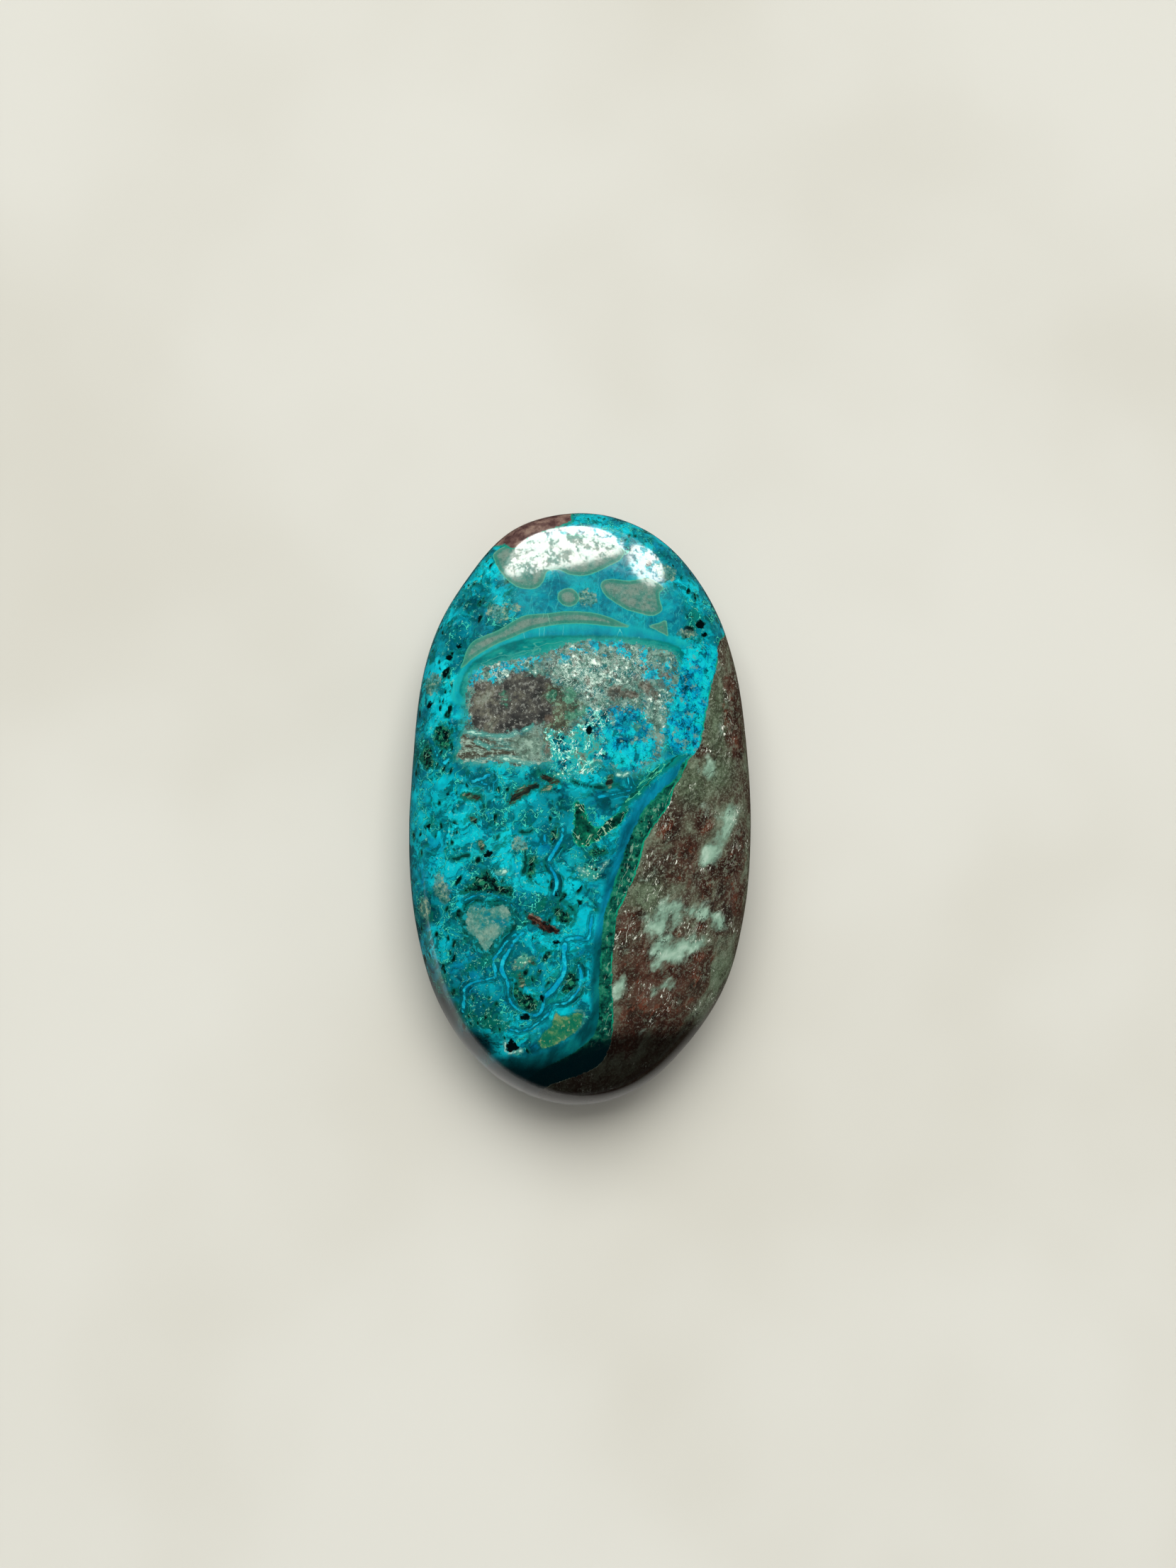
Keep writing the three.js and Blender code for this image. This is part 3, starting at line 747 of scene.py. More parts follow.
class Painting:
    """A material in the making: colour and roughness, laid on in layers."""

    def __init__(self, name, ground, roughness):
        self.material = bpy.data.materials.new(name)
        self.material.use_nodes = True
        self.tree = self.material.node_tree
        self.tree.nodes.clear()
        place = self.tree.nodes.new("ShaderNodeTexCoord").outputs["Object"]
        self.origin = self.mapped(place, 1 / MM, 0.0)
        self.place = self.origin
        self.colour = ground
        self.roughness = roughness

    def mark(self, name):
        """One of the mesh's attributes."""
        node = self.tree.nodes.new("ShaderNodeAttribute")
        node.attribute_name = name
        return Field(self.tree, node.outputs["Fac"])

    def axes(self):
        """The place's three coordinates, in mm."""
        split = self.tree.nodes.new("ShaderNodeSeparateXYZ")
        self.tree.links.new(self.origin, split.inputs[0])
        return [Field(self.tree, output) for output in split.outputs]

    def reflected(self):
        """1 where the surface is seen in another surface's polish, and 0 elsewhere."""
        return Field(self.tree, self.tree.nodes.new("ShaderNodeLightPath").outputs["Is Glossy Ray"])

    def mapped(self, start, scale, offset):
        """A place scaled and moved by plain numbers, or moved by a colour."""
        node = self.tree.nodes.new("ShaderNodeMapping")
        node.inputs["Scale"].default_value = (scale, scale, scale)
        if isinstance(offset, Field):
            self.tree.links.new(offset.socket, node.inputs["Location"])
        else:
            node.inputs["Location"].default_value = (offset, offset, offset)
        self.tree.links.new(start, node.inputs["Vector"])
        return node.outputs["Vector"]

    def shift(self, amount, scale, seed, detail=2.0):
        """The place, moved about by noise, so that patterns flow and curl."""
        texture = self.noise_node(scale, detail, 0.5, seed, self.origin)
        moved = self.mapped(self.origin, 0.5 / amount, Field(self.tree, texture.outputs["Color"]))
        return self.mapped(moved, 2 * amount, -amount)

    def stretched(self, along, squeeze, start=None):
        """The place squeezed along a direction in the face, in degrees, so that patterns run that way."""
        node = self.tree.nodes.new("ShaderNodeMapping")
        node.vector_type = "TEXTURE"
        node.inputs["Rotation"].default_value = (0, 0, math.radians(along))
        node.inputs["Scale"].default_value = (1 / squeeze, 1, 1)
        self.tree.links.new(start or self.place, node.inputs["Vector"])
        return node.outputs["Vector"]

    def noise_node(self, scale, detail, roughness, seed, at):
        """A noise texture; each seed above 0 gives it a pattern of its own."""
        node = self.tree.nodes.new("ShaderNodeTexNoise")
        node.noise_dimensions = "4D" if seed else "3D"
        node.inputs["Scale"].default_value = scale
        node.inputs["Detail"].default_value = detail
        node.inputs["Roughness"].default_value = roughness
        if seed:
            node.inputs["W"].default_value = seed
        self.tree.links.new(at or self.place, node.inputs["Vector"])
        return node

    def noise(self, scale, detail=3.0, roughness=0.55, seed=0.0, at=None):
        """Smooth noise round 0.5; scale is in cycles to the mm."""
        return Field(self.tree, self.noise_node(scale, detail, roughness, seed, at).outputs["Fac"])

    def shards(self, scale, share, size, at=None):
        """Distance in mm to scattered shards: a share of the cells has one, up to size of a cell across."""
        node = self.tree.nodes.new("ShaderNodeTexVoronoi")
        node.inputs["Scale"].default_value = scale
        self.tree.links.new(at or self.place, node.inputs["Vector"])
        split = self.tree.nodes.new("ShaderNodeSeparateColor")
        self.tree.links.new(node.outputs["Color"], split.inputs[0])
        chance, big = Field(self.tree, split.outputs["Red"]), Field(self.tree, split.outputs["Green"])
        missing = (chance - share).ramp(-0.005, 0.005)
        reach = (big * 0.65 + 0.35) * (size / scale)
        return Field(self.tree, node.outputs["Distance"]) * (1 / scale) - reach + missing * 5

    def needles(self, scale, width, seed, turn, at=None):
        """Short straight needles that run one way."""
        run = self.stretched(turn, 0.22, at)
        kept = self.noise(scale * 0.9, 2.0, 0.5, seed + 0.5, at).ramp(0.51, 0.55)
        return self.threads(scale, width, seed, run, 1.0) * kept

    def threads(self, scale, width, seed=0.0, at=None, detail=2.0):
        """Thin curling lines, where noise crosses its middle."""
        return (self.noise(scale, detail, 0.5, seed, at) - 0.5).size().ramp(width, width * 0.35)

    def fleck(self, dark, light, mask, scale, seed, spread=0.05, at=None):
        """Dark and light flecks from one noise; a smaller spread gives more of them."""
        grain = self.noise(scale, 4.0, 0.7, seed, at)
        self.lay(dark, grain.ramp(0.5 + spread, 0.5 + spread * 1.5) * mask)
        self.lay(light, grain.ramp(0.5 - spread, 0.5 - spread * 1.5) * mask)

    def rim(self, field, level, width):
        """A thin line where a field crosses a level."""
        return (field - level).size().ramp(width, width * 0.3)

    def lay(self, code, mask, roughness=None):
        """Lays a colour over what is there, where the mask is 1."""
        node = self.tree.nodes.new("ShaderNodeMix")
        node.data_type = "RGBA"
        feed(self.tree, mask, node.inputs["Factor"])
        under = self.colour if isinstance(self.colour, Field) else colour(self.colour)
        over = code if isinstance(code, Field) else colour(code)
        feed(self.tree, under, node.inputs[6])
        feed(self.tree, over, node.inputs[7])
        self.colour = Field(self.tree, node.outputs[2])
        if roughness is not None:
            self.roughness = self.blend(self.roughness, roughness, mask)

    def blend(self, under, over, mask):
        """A number that goes from under to over as the mask goes from 0 to 1."""
        node = self.tree.nodes.new("ShaderNodeMix")
        node.data_type = "FLOAT"
        feed(self.tree, mask, node.inputs["Factor"])
        feed(self.tree, under, node.inputs[2])
        feed(self.tree, over, node.inputs[3])
        return Field(self.tree, node.outputs[0])

    def bands(self, field, *stops):
        """A colour that changes with a field, through (value, hex code) stops."""
        node = self.tree.nodes.new("ShaderNodeValToRGB")
        ramp = node.color_ramp
        while len(ramp.elements) < len(stops):
            ramp.elements.new(0.5)
        for element, (position, code) in zip(ramp.elements, stops):
            element.position = position
            element.color = colour(code)
        feed(self.tree, field, node.inputs["Fac"])
        return Field(self.tree, node.outputs["Color"])


class StonePainting(Painting):
    """The stone's material, with the noises that bend and fray the edges of its markings."""

    def __init__(self):
        super().__init__("polished_stone", "#008090", 0.1)
        self.place = self.shift(0.04, 5.0, 1.0)  # a little uneven, so that no edge is quite sharp
        self.curl = self.shift(1.3, 0.4, 3.0, 4.0)  # the place in broad swirls, for flowing colours
        self.wobble = (self.noise(1.6, 3.0, 0.6, 5.0) - 0.5) * 0.5  # in mm, added to distances
        self.crumble = (self.noise(4.5, 3.0, 0.7, 9.0) - 0.5) * 0.6
        # dark patches at the wide end: dark navy stone and painted shade laid on together
        self.dark = self.mark("dark")

    def edge(self, name, bend, fray=0.0, bent_by=None):
        """Distance in mm to a marking's edge, bent by broad noise and frayed by fine noise."""
        distance = self.mark(name) + (bent_by or self.wobble) * bend
        return distance + self.crumble * fray if fray else distance


def inside(distance, soft=0.06):
    """1 inside a marking and 0 outside it, with an edge that is soft for some mm on both sides."""
    return distance.ramp(soft, -soft)


def polished_stone():
    """Turquoise chrysocolla with its veins, islands and pocket, and host rock with a green selvage."""
    paint = StonePainting()
    paint_body(paint)
    paint_sea(paint)
    paint_arch(paint)
    paint_islands(paint)
    paint_pocket(paint)
    paint_lower_face(paint)
    paint_selvage(paint)
    # Near-black over the dark patches at the wide end: partly the stone's dark navy, partly painted shade.
    paint.lay("#000c10", paint.dark.ramp(0.4, 1.25) * 0.96)
    paint_host_rock(paint)
    return finish_material(paint)


def paint_body(paint):
    """Cyan pools in teal, with dark and light outlines, and clusters of green and black shards."""
    curl, dark = paint.curl, paint.dark
    jagged = paint.shift(0.3, 1.3, 42.0, 3.0)
    bright = paint.mark("bright")
    specked = paint.mark("specked")
    deep = paint.mark("deep")
    green = paint.mark("green")
    lively = paint.mark("calm").ramp(1.0, 0.1)
    flow = paint.noise(0.38, 4.0, 0.55, 0.0, curl)
    # The body is a little darker in the dark patches, partly as painted shade.
    tone = flow + bright * 0.045 - dark * 0.06 - deep * 0.15
    paint.colour = paint.bands(
        tone,
        (0.33, "#01323c"), (0.40, "#024c5a"), (0.45, "#026274"), (0.50, "#02788a"), (0.545, "#028c9c"),
        (0.60, "#029eae"), (0.70, "#04b0c0"),
    )
    azure = paint.noise(0.55, 4.0, 0.6, 21.0, curl)
    paint.lay("#02709a", azure.ramp(0.55, 0.62) * 0.45)
    pool = paint.noise(0.42, 5.0, 0.58, 2.0, curl) + bright * 0.05 - deep * 0.1 - green * 0.03
    paint.lay("#029cac", pool.ramp(0.525, 0.56) * 0.88)
    paint.lay("#014c54", paint.rim(pool, 0.515, 0.011) * lively * 0.85)
    paint.lay("#1cb4c0", paint.rim(pool, 0.543, 0.005) * lively * 0.6)
    hollow = paint.noise(0.6, 5.0, 0.66, 7.0, curl) + deep * 0.05 - bright * 0.03
    paint.lay("#024c54", hollow.ramp(0.54, 0.57) * lively * 0.85)
    paint.lay("#0a7262", paint.rim(hollow, 0.537, 0.009) * lively * 0.8)
    slanted = paint.stretched(32, 0.42, curl)
    patch = paint.noise(1.1, 5.0, 0.66, 12.0, slanted)
    paint.lay("#01403f", patch.ramp(0.55, 0.58) * lively * 0.8)
    paint.lay("#0cb0b8", patch.ramp(0.44, 0.42) * lively * (bright * 0.7 + 0.12))
    paint.fleck("#023a40", "#14a8b0", lively * 0.22, 4.0, 3.0, 0.07, slanted)
    depth = paint.noise(0.8, 3.0, 0.5, 19.0, curl) - deep * 0.04
    paint.lay("#015e70", (0.50 - depth).ramp(0.0, 0.14) * deep.ramp(0.2, 0.9) * 0.7)
    paint.lay("#015a6c", depth.ramp(0.50, 0.64) * lively * 0.5)
    paint.lay("#10bccb", depth.ramp(0.48, 0.36) * (bright * 0.6 + 0.25) * 0.6)
    paint.lay("#03a8bc", bright.ramp(1.2, 1.5) * 0.75)
    greenish = paint.noise(0.9, 5.0, 0.7, 53.0, slanted) + green * 0.07
    paint.lay("#055c4c", greenish.ramp(0.56, 0.62) * lively * 0.7)
    crest = paint.noise(0.8, 3.0, 0.55, 31.0, jagged)
    crests = lively * (paint.noise(0.4, 2.0, 0.5, 13.0).ramp(0.48, 0.55) * 0.95 + green * 0.15)
    paint.lay("#024a48", paint.rim(crest, 0.5, 0.03) * crests * 0.8)
    paint.lay("#3cc0ae", paint.rim(crest, 0.5, 0.011) * crests * 0.85)
    density = specked * 0.13 + green * 0.14 + lively * 0.03
    for scale, size, scatter in ((0.9, 0.40, 1.0), (1.8, 0.42, 1.0), (3.2, 0.42, 0.8)):
        shard = paint.shards(scale, density * scatter, size, paint.stretched(30 + 20 * scale, 0.5, jagged))
        paint.lay("#04544a", inside(shard - 0.06, 0.06) * 0.8)
        paint.lay("#02241f", inside(shard, 0.04) * 0.9)
        paint.lay("#00090b", inside(shard + 0.05, 0.04) * 0.85, 0.2)
    crumbs = (paint.noise(3.0, 4.0, 0.75, 14.0, jagged) + density * 0.2).ramp(0.635, 0.65)
    paint.lay("#5fae98", crumbs * lively * 0.7)


def paint_sea(paint):
    """Calmer teal round the islands, with faint upright cracks and small green flecks."""
    sea = paint.mark("sea").ramp(0.25, 0.8)
    tone = paint.noise(0.5, 5.0, 0.62, 64.0, paint.curl)
    teal = paint.bands(tone, (0.38, "#04566a"), (0.46, "#066c80"), (0.54, "#067c8a"), (0.66, "#0a929c"))
    paint.lay(teal, sea * 0.85)
    paint.fleck("#0a5058", "#1c9498", sea * 0.45, 2.2, 65.0, 0.06, paint.curl)
    upright = paint.stretched(86, 0.12, paint.shift(0.3, 0.6, 67.0))
    paint.lay("#2c9c9e", paint.threads(0.8, 0.009, 66.0, upright, 2.0) * sea * 0.45)


def paint_arch(paint):
    """The plain arch over the pocket, streaked and cracked across, and the greener rind below it."""
    arch = paint.edge("arch", 0.5)
    within = inside(arch, 0.2)
    streaks = paint.noise(0.9, 4.0, 0.6, 60.0, paint.stretched(90, 0.2, paint.shift(0.2, 0.8, 68.0)))
    depth = arch.ramp(-1.1, 0.1) * 0.25 + streaks * 0.75
    bands = paint.bands(depth, (0.3, "#045e74"), (0.42, "#067488"), (0.54, "#088490"), (0.68, "#149496"))
    paint.lay(bands, within * 0.9)
    across = paint.stretched(88, 0.08)
    some = paint.noise(0.5, 2.0, 0.5, 62.0).ramp(0.42, 0.5)
    cracks = paint.threads(0.6, 0.006, 61.0, across, 1.0) * some
    paint.lay("#48a8a4", cracks * inside(arch + 0.1) * 0.7)
    rind = paint.edge("rind", 0.6)
    below = inside(rind, 0.15)
    mottled = paint.noise(1.3, 5.0, 0.65, 63.0, paint.stretched(12, 0.4))
    greens = paint.bands(mottled, (0.4, "#015a5c"), (0.5, "#01706e"), (0.6, "#087c74"), (0.7, "#26847a"))
    paint.lay(greens, below)
    paint.lay("#055a5a", paint.rim(rind, -0.1, 0.14) * 0.5)
    seams = paint.threads(1.4, 0.02, 69.0, paint.stretched(10, 0.3))
    paint.lay("#3f8f82", seams * inside(rind + 0.45) * 0.6)


def paint_islands(paint):
    """Grey-green islands with a thin pale-green outline, the long crescent, and brown rock at the tip."""
    shade = paint.noise(0.7, 6.0, 0.7, 71.0)
    body = paint.bands(shade, (0.38, "#316660"), (0.47, "#3e7066"), (0.54, "#4d736b"), (0.66, "#637b73"))
    faint = paint.edge("faint_islands", 2.0, 1.6)
    paint.lay(body, inside(faint, 0.1) * 0.7, 0.2)
    paint.fleck("#0c4640", "#7c9078", inside(faint, 0.1) * 0.75, 3.0, 74.0, 0.045)
    for name, ragged in (("islands", 0.3), ("crescent", 0.15)):
        island = paint.mark(name) + paint.wobble * ragged + paint.crumble * ragged * 0.4
        within = inside(island, 0.05)
        paint.lay(body, within, 0.26)
        middle = inside(island + 0.35, 0.3) * paint.noise(0.8, 4.0, 0.65, 22.0).ramp(0.42, 0.56)
        paint.lay("#68776f", middle * 0.75)
        paint.fleck("#24504a", "#74867e", within * 0.45, 4.5, 75.0, 0.06)
        paint.lay("#1c6c5e", paint.rim(island, -0.2, 0.16) * 0.6)
        paint.lay("#3a967c", paint.rim(island, -0.01, 0.06) * 0.7)
    crescent = inside(paint.mark("crescent"))
    across = paint.stretched(96, 0.06)
    few = paint.noise(0.35, 1.0, 0.5, 20.0).ramp(0.5, 0.56)
    paint.lay("#6fa892", paint.threads(0.5, 0.004, 76.0, across, 1.0) * crescent * few * 0.7)
    low = paint.mark("crescent").ramp(-0.3, 0.0) * crescent
    paint.lay("#1f7664", low * 0.4)
    tip = paint.edge("tip_rock", 1.2, 0.6)
    rock = paint.noise(1.0, 5.0, 0.65, 77.0)
    brown = paint.bands(rock, (0.4, "#3f2c2c"), (0.5, "#5b4642"), (0.6, "#76635a"))
    paint.lay(brown, inside(tip, 0.1), 0.2)
    paint.lay("#0a7a66", paint.rim(tip, 0.08, 0.14) * 0.8)


def paint_pocket(paint):
    """The pocket of rock: a grey core, pale crumbs, striped layers, azure, moss and a nest of crystals."""
    ragged = paint.shift(0.12, 3.0, 80.0)
    torn = (paint.noise(0.9, 6.0, 0.75, 36.0) - 0.5) * 4
    pocket = paint.edge("pocket", 0.4, 1.6, torn)
    within = inside(pocket, 0.06)
    milk = paint.mark("milky")
    tint = paint.noise(0.9, 5.0, 0.7, 82.0)
    paint_pocket_ground(paint, pocket, within, tint, ragged)
    paint_crumbs(paint, within, milk, ragged)
    torn_place = paint.shift(0.5, 1.1, 27.0, 3.0)
    paint_pocket_threads(paint, within, milk, torn_place)
    paint_azure_dust(paint, pocket, ragged)
    paint_layers(paint, within, torn, ragged)
    paint_core(paint, torn, ragged)
    paint_lobe_and_rust(paint, tint, ragged)
    paint_azure(paint, torn, milk, ragged, torn_place)
    paint_moss(paint, torn, tint)
    paint_crystals(paint, torn, milk, torn_place)


def paint_pocket_ground(paint, pocket, within, tint, ragged):
    """Grey-green ground, with flat-lying streaks near its edge."""
    ground = paint.bands(
        tint, (0.38, "#16606a"), (0.45, "#2f706c"), (0.51, "#406860"), (0.57, "#51776c"), (0.66, "#38564e")
    )
    paint.lay("#2f8a80", inside(pocket - 0.35, 0.3) * 0.5)
    paint.lay(ground, within, 0.24)
    edge = pocket.ramp(-1.3, -0.1)
    flat = paint.noise(1.0, 5.0, 0.65, 47.0, paint.stretched(4, 0.3, paint.shift(0.3, 0.5, 46.0)))
    streaks = paint.bands(flat, (0.4, "#1a6c70"), (0.47, "#3a766f"), (0.52, "#4c6c62"), (0.58, "#729488"))
    paint.lay(streaks, within * edge * flat.ramp(0.36, 0.5) * 0.8)
    paint.fleck("#2c4644", "#708c84", within * 0.7, 1.6, 88.0, 0.035, ragged)


def paint_crumbs(paint, within, milk, ragged):
    """Tan patches, chalky crumbs from grey to white, and dark gaps between them."""
    tan = paint.noise(0.8, 5.0, 0.7, 50.0, ragged)
    paint.lay("#6a6058", tan.ramp(0.52, 0.57) * within * (milk * 0.6 + 0.2) * 0.85)
    chalk = paint.noise(2.1, 6.0, 0.76, 34.0, ragged) + milk * 0.065
    for code, low, high, strength in (
        ("#7c9f94", 0.56, 0.59, 0.75),
        ("#a3c0b5", 0.61, 0.625, 0.85),
        ("#dbe6df", 0.645, 0.655, 0.95),
    ):
        paint.lay(code, chalk.ramp(low, high) * within * strength)
    gaps = paint.noise(2.6, 5.0, 0.75, 35.0, ragged)
    paint.lay("#1f2b28", gaps.ramp(0.575, 0.595) * within * 0.75)


def paint_pocket_threads(paint, within, milk, torn_place):
    """Pale and dark hair-thin curls."""
    broad = paint.threads(1.5, 0.012, 33.0, torn_place, 4.0)
    curls = broad + paint.threads(2.6, 0.012, 26.0, torn_place, 4.0)
    paint.lay("#b9cdc4", curls.ramp(0.2, 0.9) * (milk * 0.8 + 0.15).ramp(0.1, 0.8) * within * 0.8)
    paint.lay("#232825", paint.threads(1.9, 0.010, 25.0, torn_place, 4.0) * within * 0.5)


def paint_azure_dust(paint, pocket, ragged):
    """Specks of azure along the pocket's edge."""
    dust = paint.mark("azure_dust")
    blue_dust = paint.noise(1.5, 5.0, 0.74, 87.0, ragged) + dust * 0.05
    near = inside(pocket - 0.1, 0.15) * dust.ramp(0.15, 0.6)
    tone = paint.noise(1.8, 4.0, 0.7, 45.0)
    dusty = paint.bands(tone, (0.4, "#045f72"), (0.48, "#048aa4"), (0.56, "#04a2b4"), (0.64, "#2cb8b8"))
    paint.lay(dusty, blue_dust.ramp(0.57, 0.585) * near * 0.95)


def paint_layers(paint, within, torn, ragged):
    """Striped layers below the core."""
    stripes = paint.noise(1.0, 5.0, 0.62, 84.0, paint.stretched(-6, 0.16, paint.shift(0.35, 0.35, 79.0)))
    layered = inside(paint.mark("layers") + torn * 0.6 + paint.crumble, 0.3) * within
    striped = paint.bands(
        stripes,
        (0.39, "#86a69a"), (0.43, "#3a6c68"), (0.47, "#50594f"), (0.50, "#35352e"), (0.54, "#43443a"),
        (0.575, "#7f988c"), (0.61, "#48554e"), (0.66, "#8ca598"),
    )
    paint.lay(striped, layered)
    paint.fleck("#34322c", "#94aca0", layered * 0.6, 3.2, 78.0, 0.05, ragged)


def paint_core(paint, torn, ragged):
    """The grey core and its brown tail, with bright chips on both."""
    core = paint.edge("pocket_core", 0.7, 2.0, torn)
    in_core = inside(core, 0.15)
    stone = paint.noise(0.7, 6.0, 0.68, 83.0)
    grey = paint.bands(
        stone, (0.38, "#232525"), (0.46, "#333433"), (0.53, "#454642"), (0.60, "#58594f"), (0.68, "#6a7268")
    )
    paint.lay(grey, in_core, 0.22)
    paint.fleck("#242427", "#7f837e", in_core * 0.6, 3.6, 72.0, 0.055)
    brown = paint.edge("pocket_brown", 0.9, 2.6, torn)
    in_brown = inside(brown, 0.3)
    paint.lay(paint.bands(stone, (0.4, "#363329"), (0.5, "#4a4b3d"), (0.6, "#5a6654")), in_brown * 0.85)
    paint.fleck("#2c3028", "#6f9079", in_brown * 0.7, 2.6, 73.0, 0.045)
    chips = paint.noise(3.4, 4.0, 0.78, 70.0, ragged).ramp(0.645, 0.66)
    paint.lay("#c4ccc6", chips * (in_core + in_brown).ramp(0.2, 0.8) * 0.95)


def paint_lobe_and_rust(paint, tint, ragged):
    """A pale lobe below the core, and rusty spots."""
    lobe = paint.edge("pocket_lobe", 1.6, 1.4)
    greys = paint.bands(tint, (0.4, "#46645a"), (0.5, "#5b776c"), (0.62, "#76938a"))
    paint.lay(greys, inside(lobe, 0.3) * 0.8)
    paint.fleck("#37443c", "#86a094", inside(lobe, 0.2) * 0.7, 2.2, 81.0, 0.05, ragged)
    rust = paint.edge("rust", 2.2, 1.8)
    paint.lay(paint.bands(tint, (0.42, "#38322c"), (0.56, "#5a5249")), inside(rust, 0.15) * 0.8)
    paint.fleck("#231d1a", "#8a938a", inside(rust, 0.1) * 0.5, 4.4, 24.0, 0.06)


def paint_azure(paint, torn, milk, ragged, torn_place):
    """Azure patches that turn cyan on one side, with dark cracks and crumbs of rock."""
    azure = paint.edge("azure", 1.1, 3.8, torn)
    in_azure = inside(azure, 0.05)
    patch = paint.noise(0.9, 6.0, 0.74, 85.0, torn_place)
    drift = paint.mark("cyan_side") * 0.055
    blue = paint.bands(
        patch + drift,
        (0.37, "#012c36"), (0.415, "#024c60"), (0.445, "#026c92"), (0.475, "#0280a6"), (0.505, "#0292aa"),
        (0.55, "#049eaa"), (0.60, "#08acb2"), (0.67, "#02787c"),
    )
    paint.lay(blue, in_azure, 0.14)
    paint.fleck("#012630", "#0cb2be", in_azure * 0.7, 1.8, 32.0, 0.05, paint.stretched(80, 0.6, torn_place))
    shade = paint.noise(0.7, 5.0, 0.65, 49.0, torn_place)
    paint.lay("#024a68", shade.ramp(0.52, 0.58) * in_azure * 0.6)
    paint.lay("#00161c", paint.threads(1.4, 0.012, 23.0, torn_place, 4.0) * in_azure * 0.75)
    rocky = paint.noise(1.1, 6.0, 0.75, 59.0, ragged) + milk * 0.04 - paint.mark("cyan_side") * 0.04
    paint.lay("#4f7c74", rocky.ramp(0.55, 0.57) * in_azure * 0.85)
    paint.lay("#8aa598", rocky.ramp(0.615, 0.63) * in_azure * 0.9)


def paint_moss(paint, torn, tint):
    """Tufts of green like moss."""
    moss = paint.edge("moss", 0.7, 2.2, torn)
    paint.lay("#24332f", paint.rim(moss, 0.05, 0.12) * 0.5)
    paint.lay(paint.bands(tint, (0.42, "#22604e"), (0.56, "#4a8670")), inside(moss, 0.15) * 0.8)
    paint.fleck("#1d3a32", "#86ab98", inside(moss, 0.1) * 0.5, 3.6, 18.0, 0.055)


def paint_crystals(paint, torn, milk, torn_place):
    """A nest of pale green needles that cross each other, from dim ones below to bright ones on top."""
    nest = paint.mark("crystals") - 0.25 + torn * 1.1 + paint.crumble * 3.6
    in_nest = inside(nest, 0.06)
    patch = paint.noise(0.9, 6.0, 0.74, 85.0, torn_place)
    bed = paint.bands(
        patch,
        (0.40, "#02262e"), (0.44, "#055a68"), (0.49, "#0a828e"), (0.54, "#1c9894"), (0.58, "#47796e"),
        (0.62, "#54665c"), (0.68, "#37443f"),
    )
    paint.lay(bed, in_nest)
    dense = (paint.noise(1.0, 3.0, 0.6, 54.0) + milk * 0.04).ramp(0.46, 0.56)
    turned = paint.shift(0.25, 1.4, 89.0)
    needles = (
        (15, "#2f9890"), (75, "#45a89a"), (130, "#5fb6a6"), (40, "#74c4b2"), (100, "#8fd4c2"),
        (160, "#a6dccb"), (60, "#cdeade"),
    )
    for number, (turn, code) in enumerate(needles):
        strokes = paint.needles(1.9 + 0.25 * number, 0.032, 86.0 + number, turn, turned)
        paint.lay(code, strokes * dense * in_nest)


def paint_lower_face(paint):
    """Dark eyes, the heart, veins, the green wedge and strand, and the tan nugget."""
    uneven = paint_eyes(paint)
    paint_heart(paint)
    paint_pale_nests(paint)
    paint_veins(paint)
    paint_splinters(paint)
    paint_wedge(paint)
    paint_strand(paint)
    paint_rust_streak(paint)
    paint_nugget(paint, uneven)
    # Pits and black specks, near-black: the specks' own colour, with painted shade inside the pits.
    paint.lay("#000a0c", inside(paint.edge("pits", 1.2, 0.8), 0.06), 0.35)


def paint_eyes(paint):
    """Dark green eyes with pale needles in them and a broken cyan line round them."""
    eyes = paint.edge("eyes", 2.0, 1.6)
    paint.lay("#065446", inside(eyes - 0.14, 0.12) * 0.85)
    within = inside(eyes + 0.04, 0.06)
    paint.lay("#02302a", within, 0.18)
    paint.fleck("#010d0e", "#1c6a50", within, 2.4, 97.0, 0.04)
    streaks = paint.needles(2.8, 0.03, 91.0, 50) + paint.needles(2.4, 0.03, 43.0, 110)
    paint.lay("#5f9a80", streaks.ramp(0.3, 0.9) * within * 0.6)
    uneven = paint.noise(0.8, 3.0, 0.6, 98.0)
    paint.lay("#2fbcc0", paint.rim(eyes, 0.26, 0.05) * uneven.ramp(0.49, 0.55) * 0.8)
    return uneven


def paint_heart(paint):
    """The grey-green heart, in a dark halo with a light outline."""
    heart = paint.edge("heart", 1.0, 1.0)
    paint.lay("#07504c", inside(heart - 0.5, 0.2) * 0.9)
    paint.fleck("#022a28", "#0f8a94", inside(heart - 0.55, 0.15) * 0.75, 1.9, 99.0, 0.04)
    outline = paint.rim(heart, 0.72, 0.07) * paint.noise(0.7, 2.0, 0.5, 17.0).ramp(0.50, 0.60)
    paint.lay("#0f929a", outline * 0.6)
    tone = paint.noise(0.9, 6.0, 0.7, 92.0) - paint.mark("heart_top") * 0.05
    greys = paint.bands(
        tone, (0.38, "#086874"), (0.43, "#24706e"), (0.48, "#417870"), (0.55, "#578078"), (0.64, "#6c887c")
    )
    in_heart = inside(heart, 0.05)
    paint.lay(greys, in_heart, 0.2)
    paint.fleck("#28584f", "#7a988c", in_heart * 0.5, 3.4, 90.0, 0.055)


def paint_pale_nests(paint):
    """Small nests of dark and pale green shards."""
    pale = paint.edge("pale_nests", 2.4, 2.4)
    in_pale = inside(pale, 0.08)
    paint.lay("#2c8a7c", in_pale * 0.6)
    paint.lay("#0b3c38", inside(paint.shards(3.0, 0.35, 0.4), 0.03) * in_pale * 0.9)
    paint.lay("#8fc2a6", inside(paint.shards(3.8, 0.45, 0.4), 0.03) * in_pale * 0.9)
    paint.lay("#c3e0c8", inside(paint.shards(5.6, 0.3, 0.4), 0.02) * in_pale)


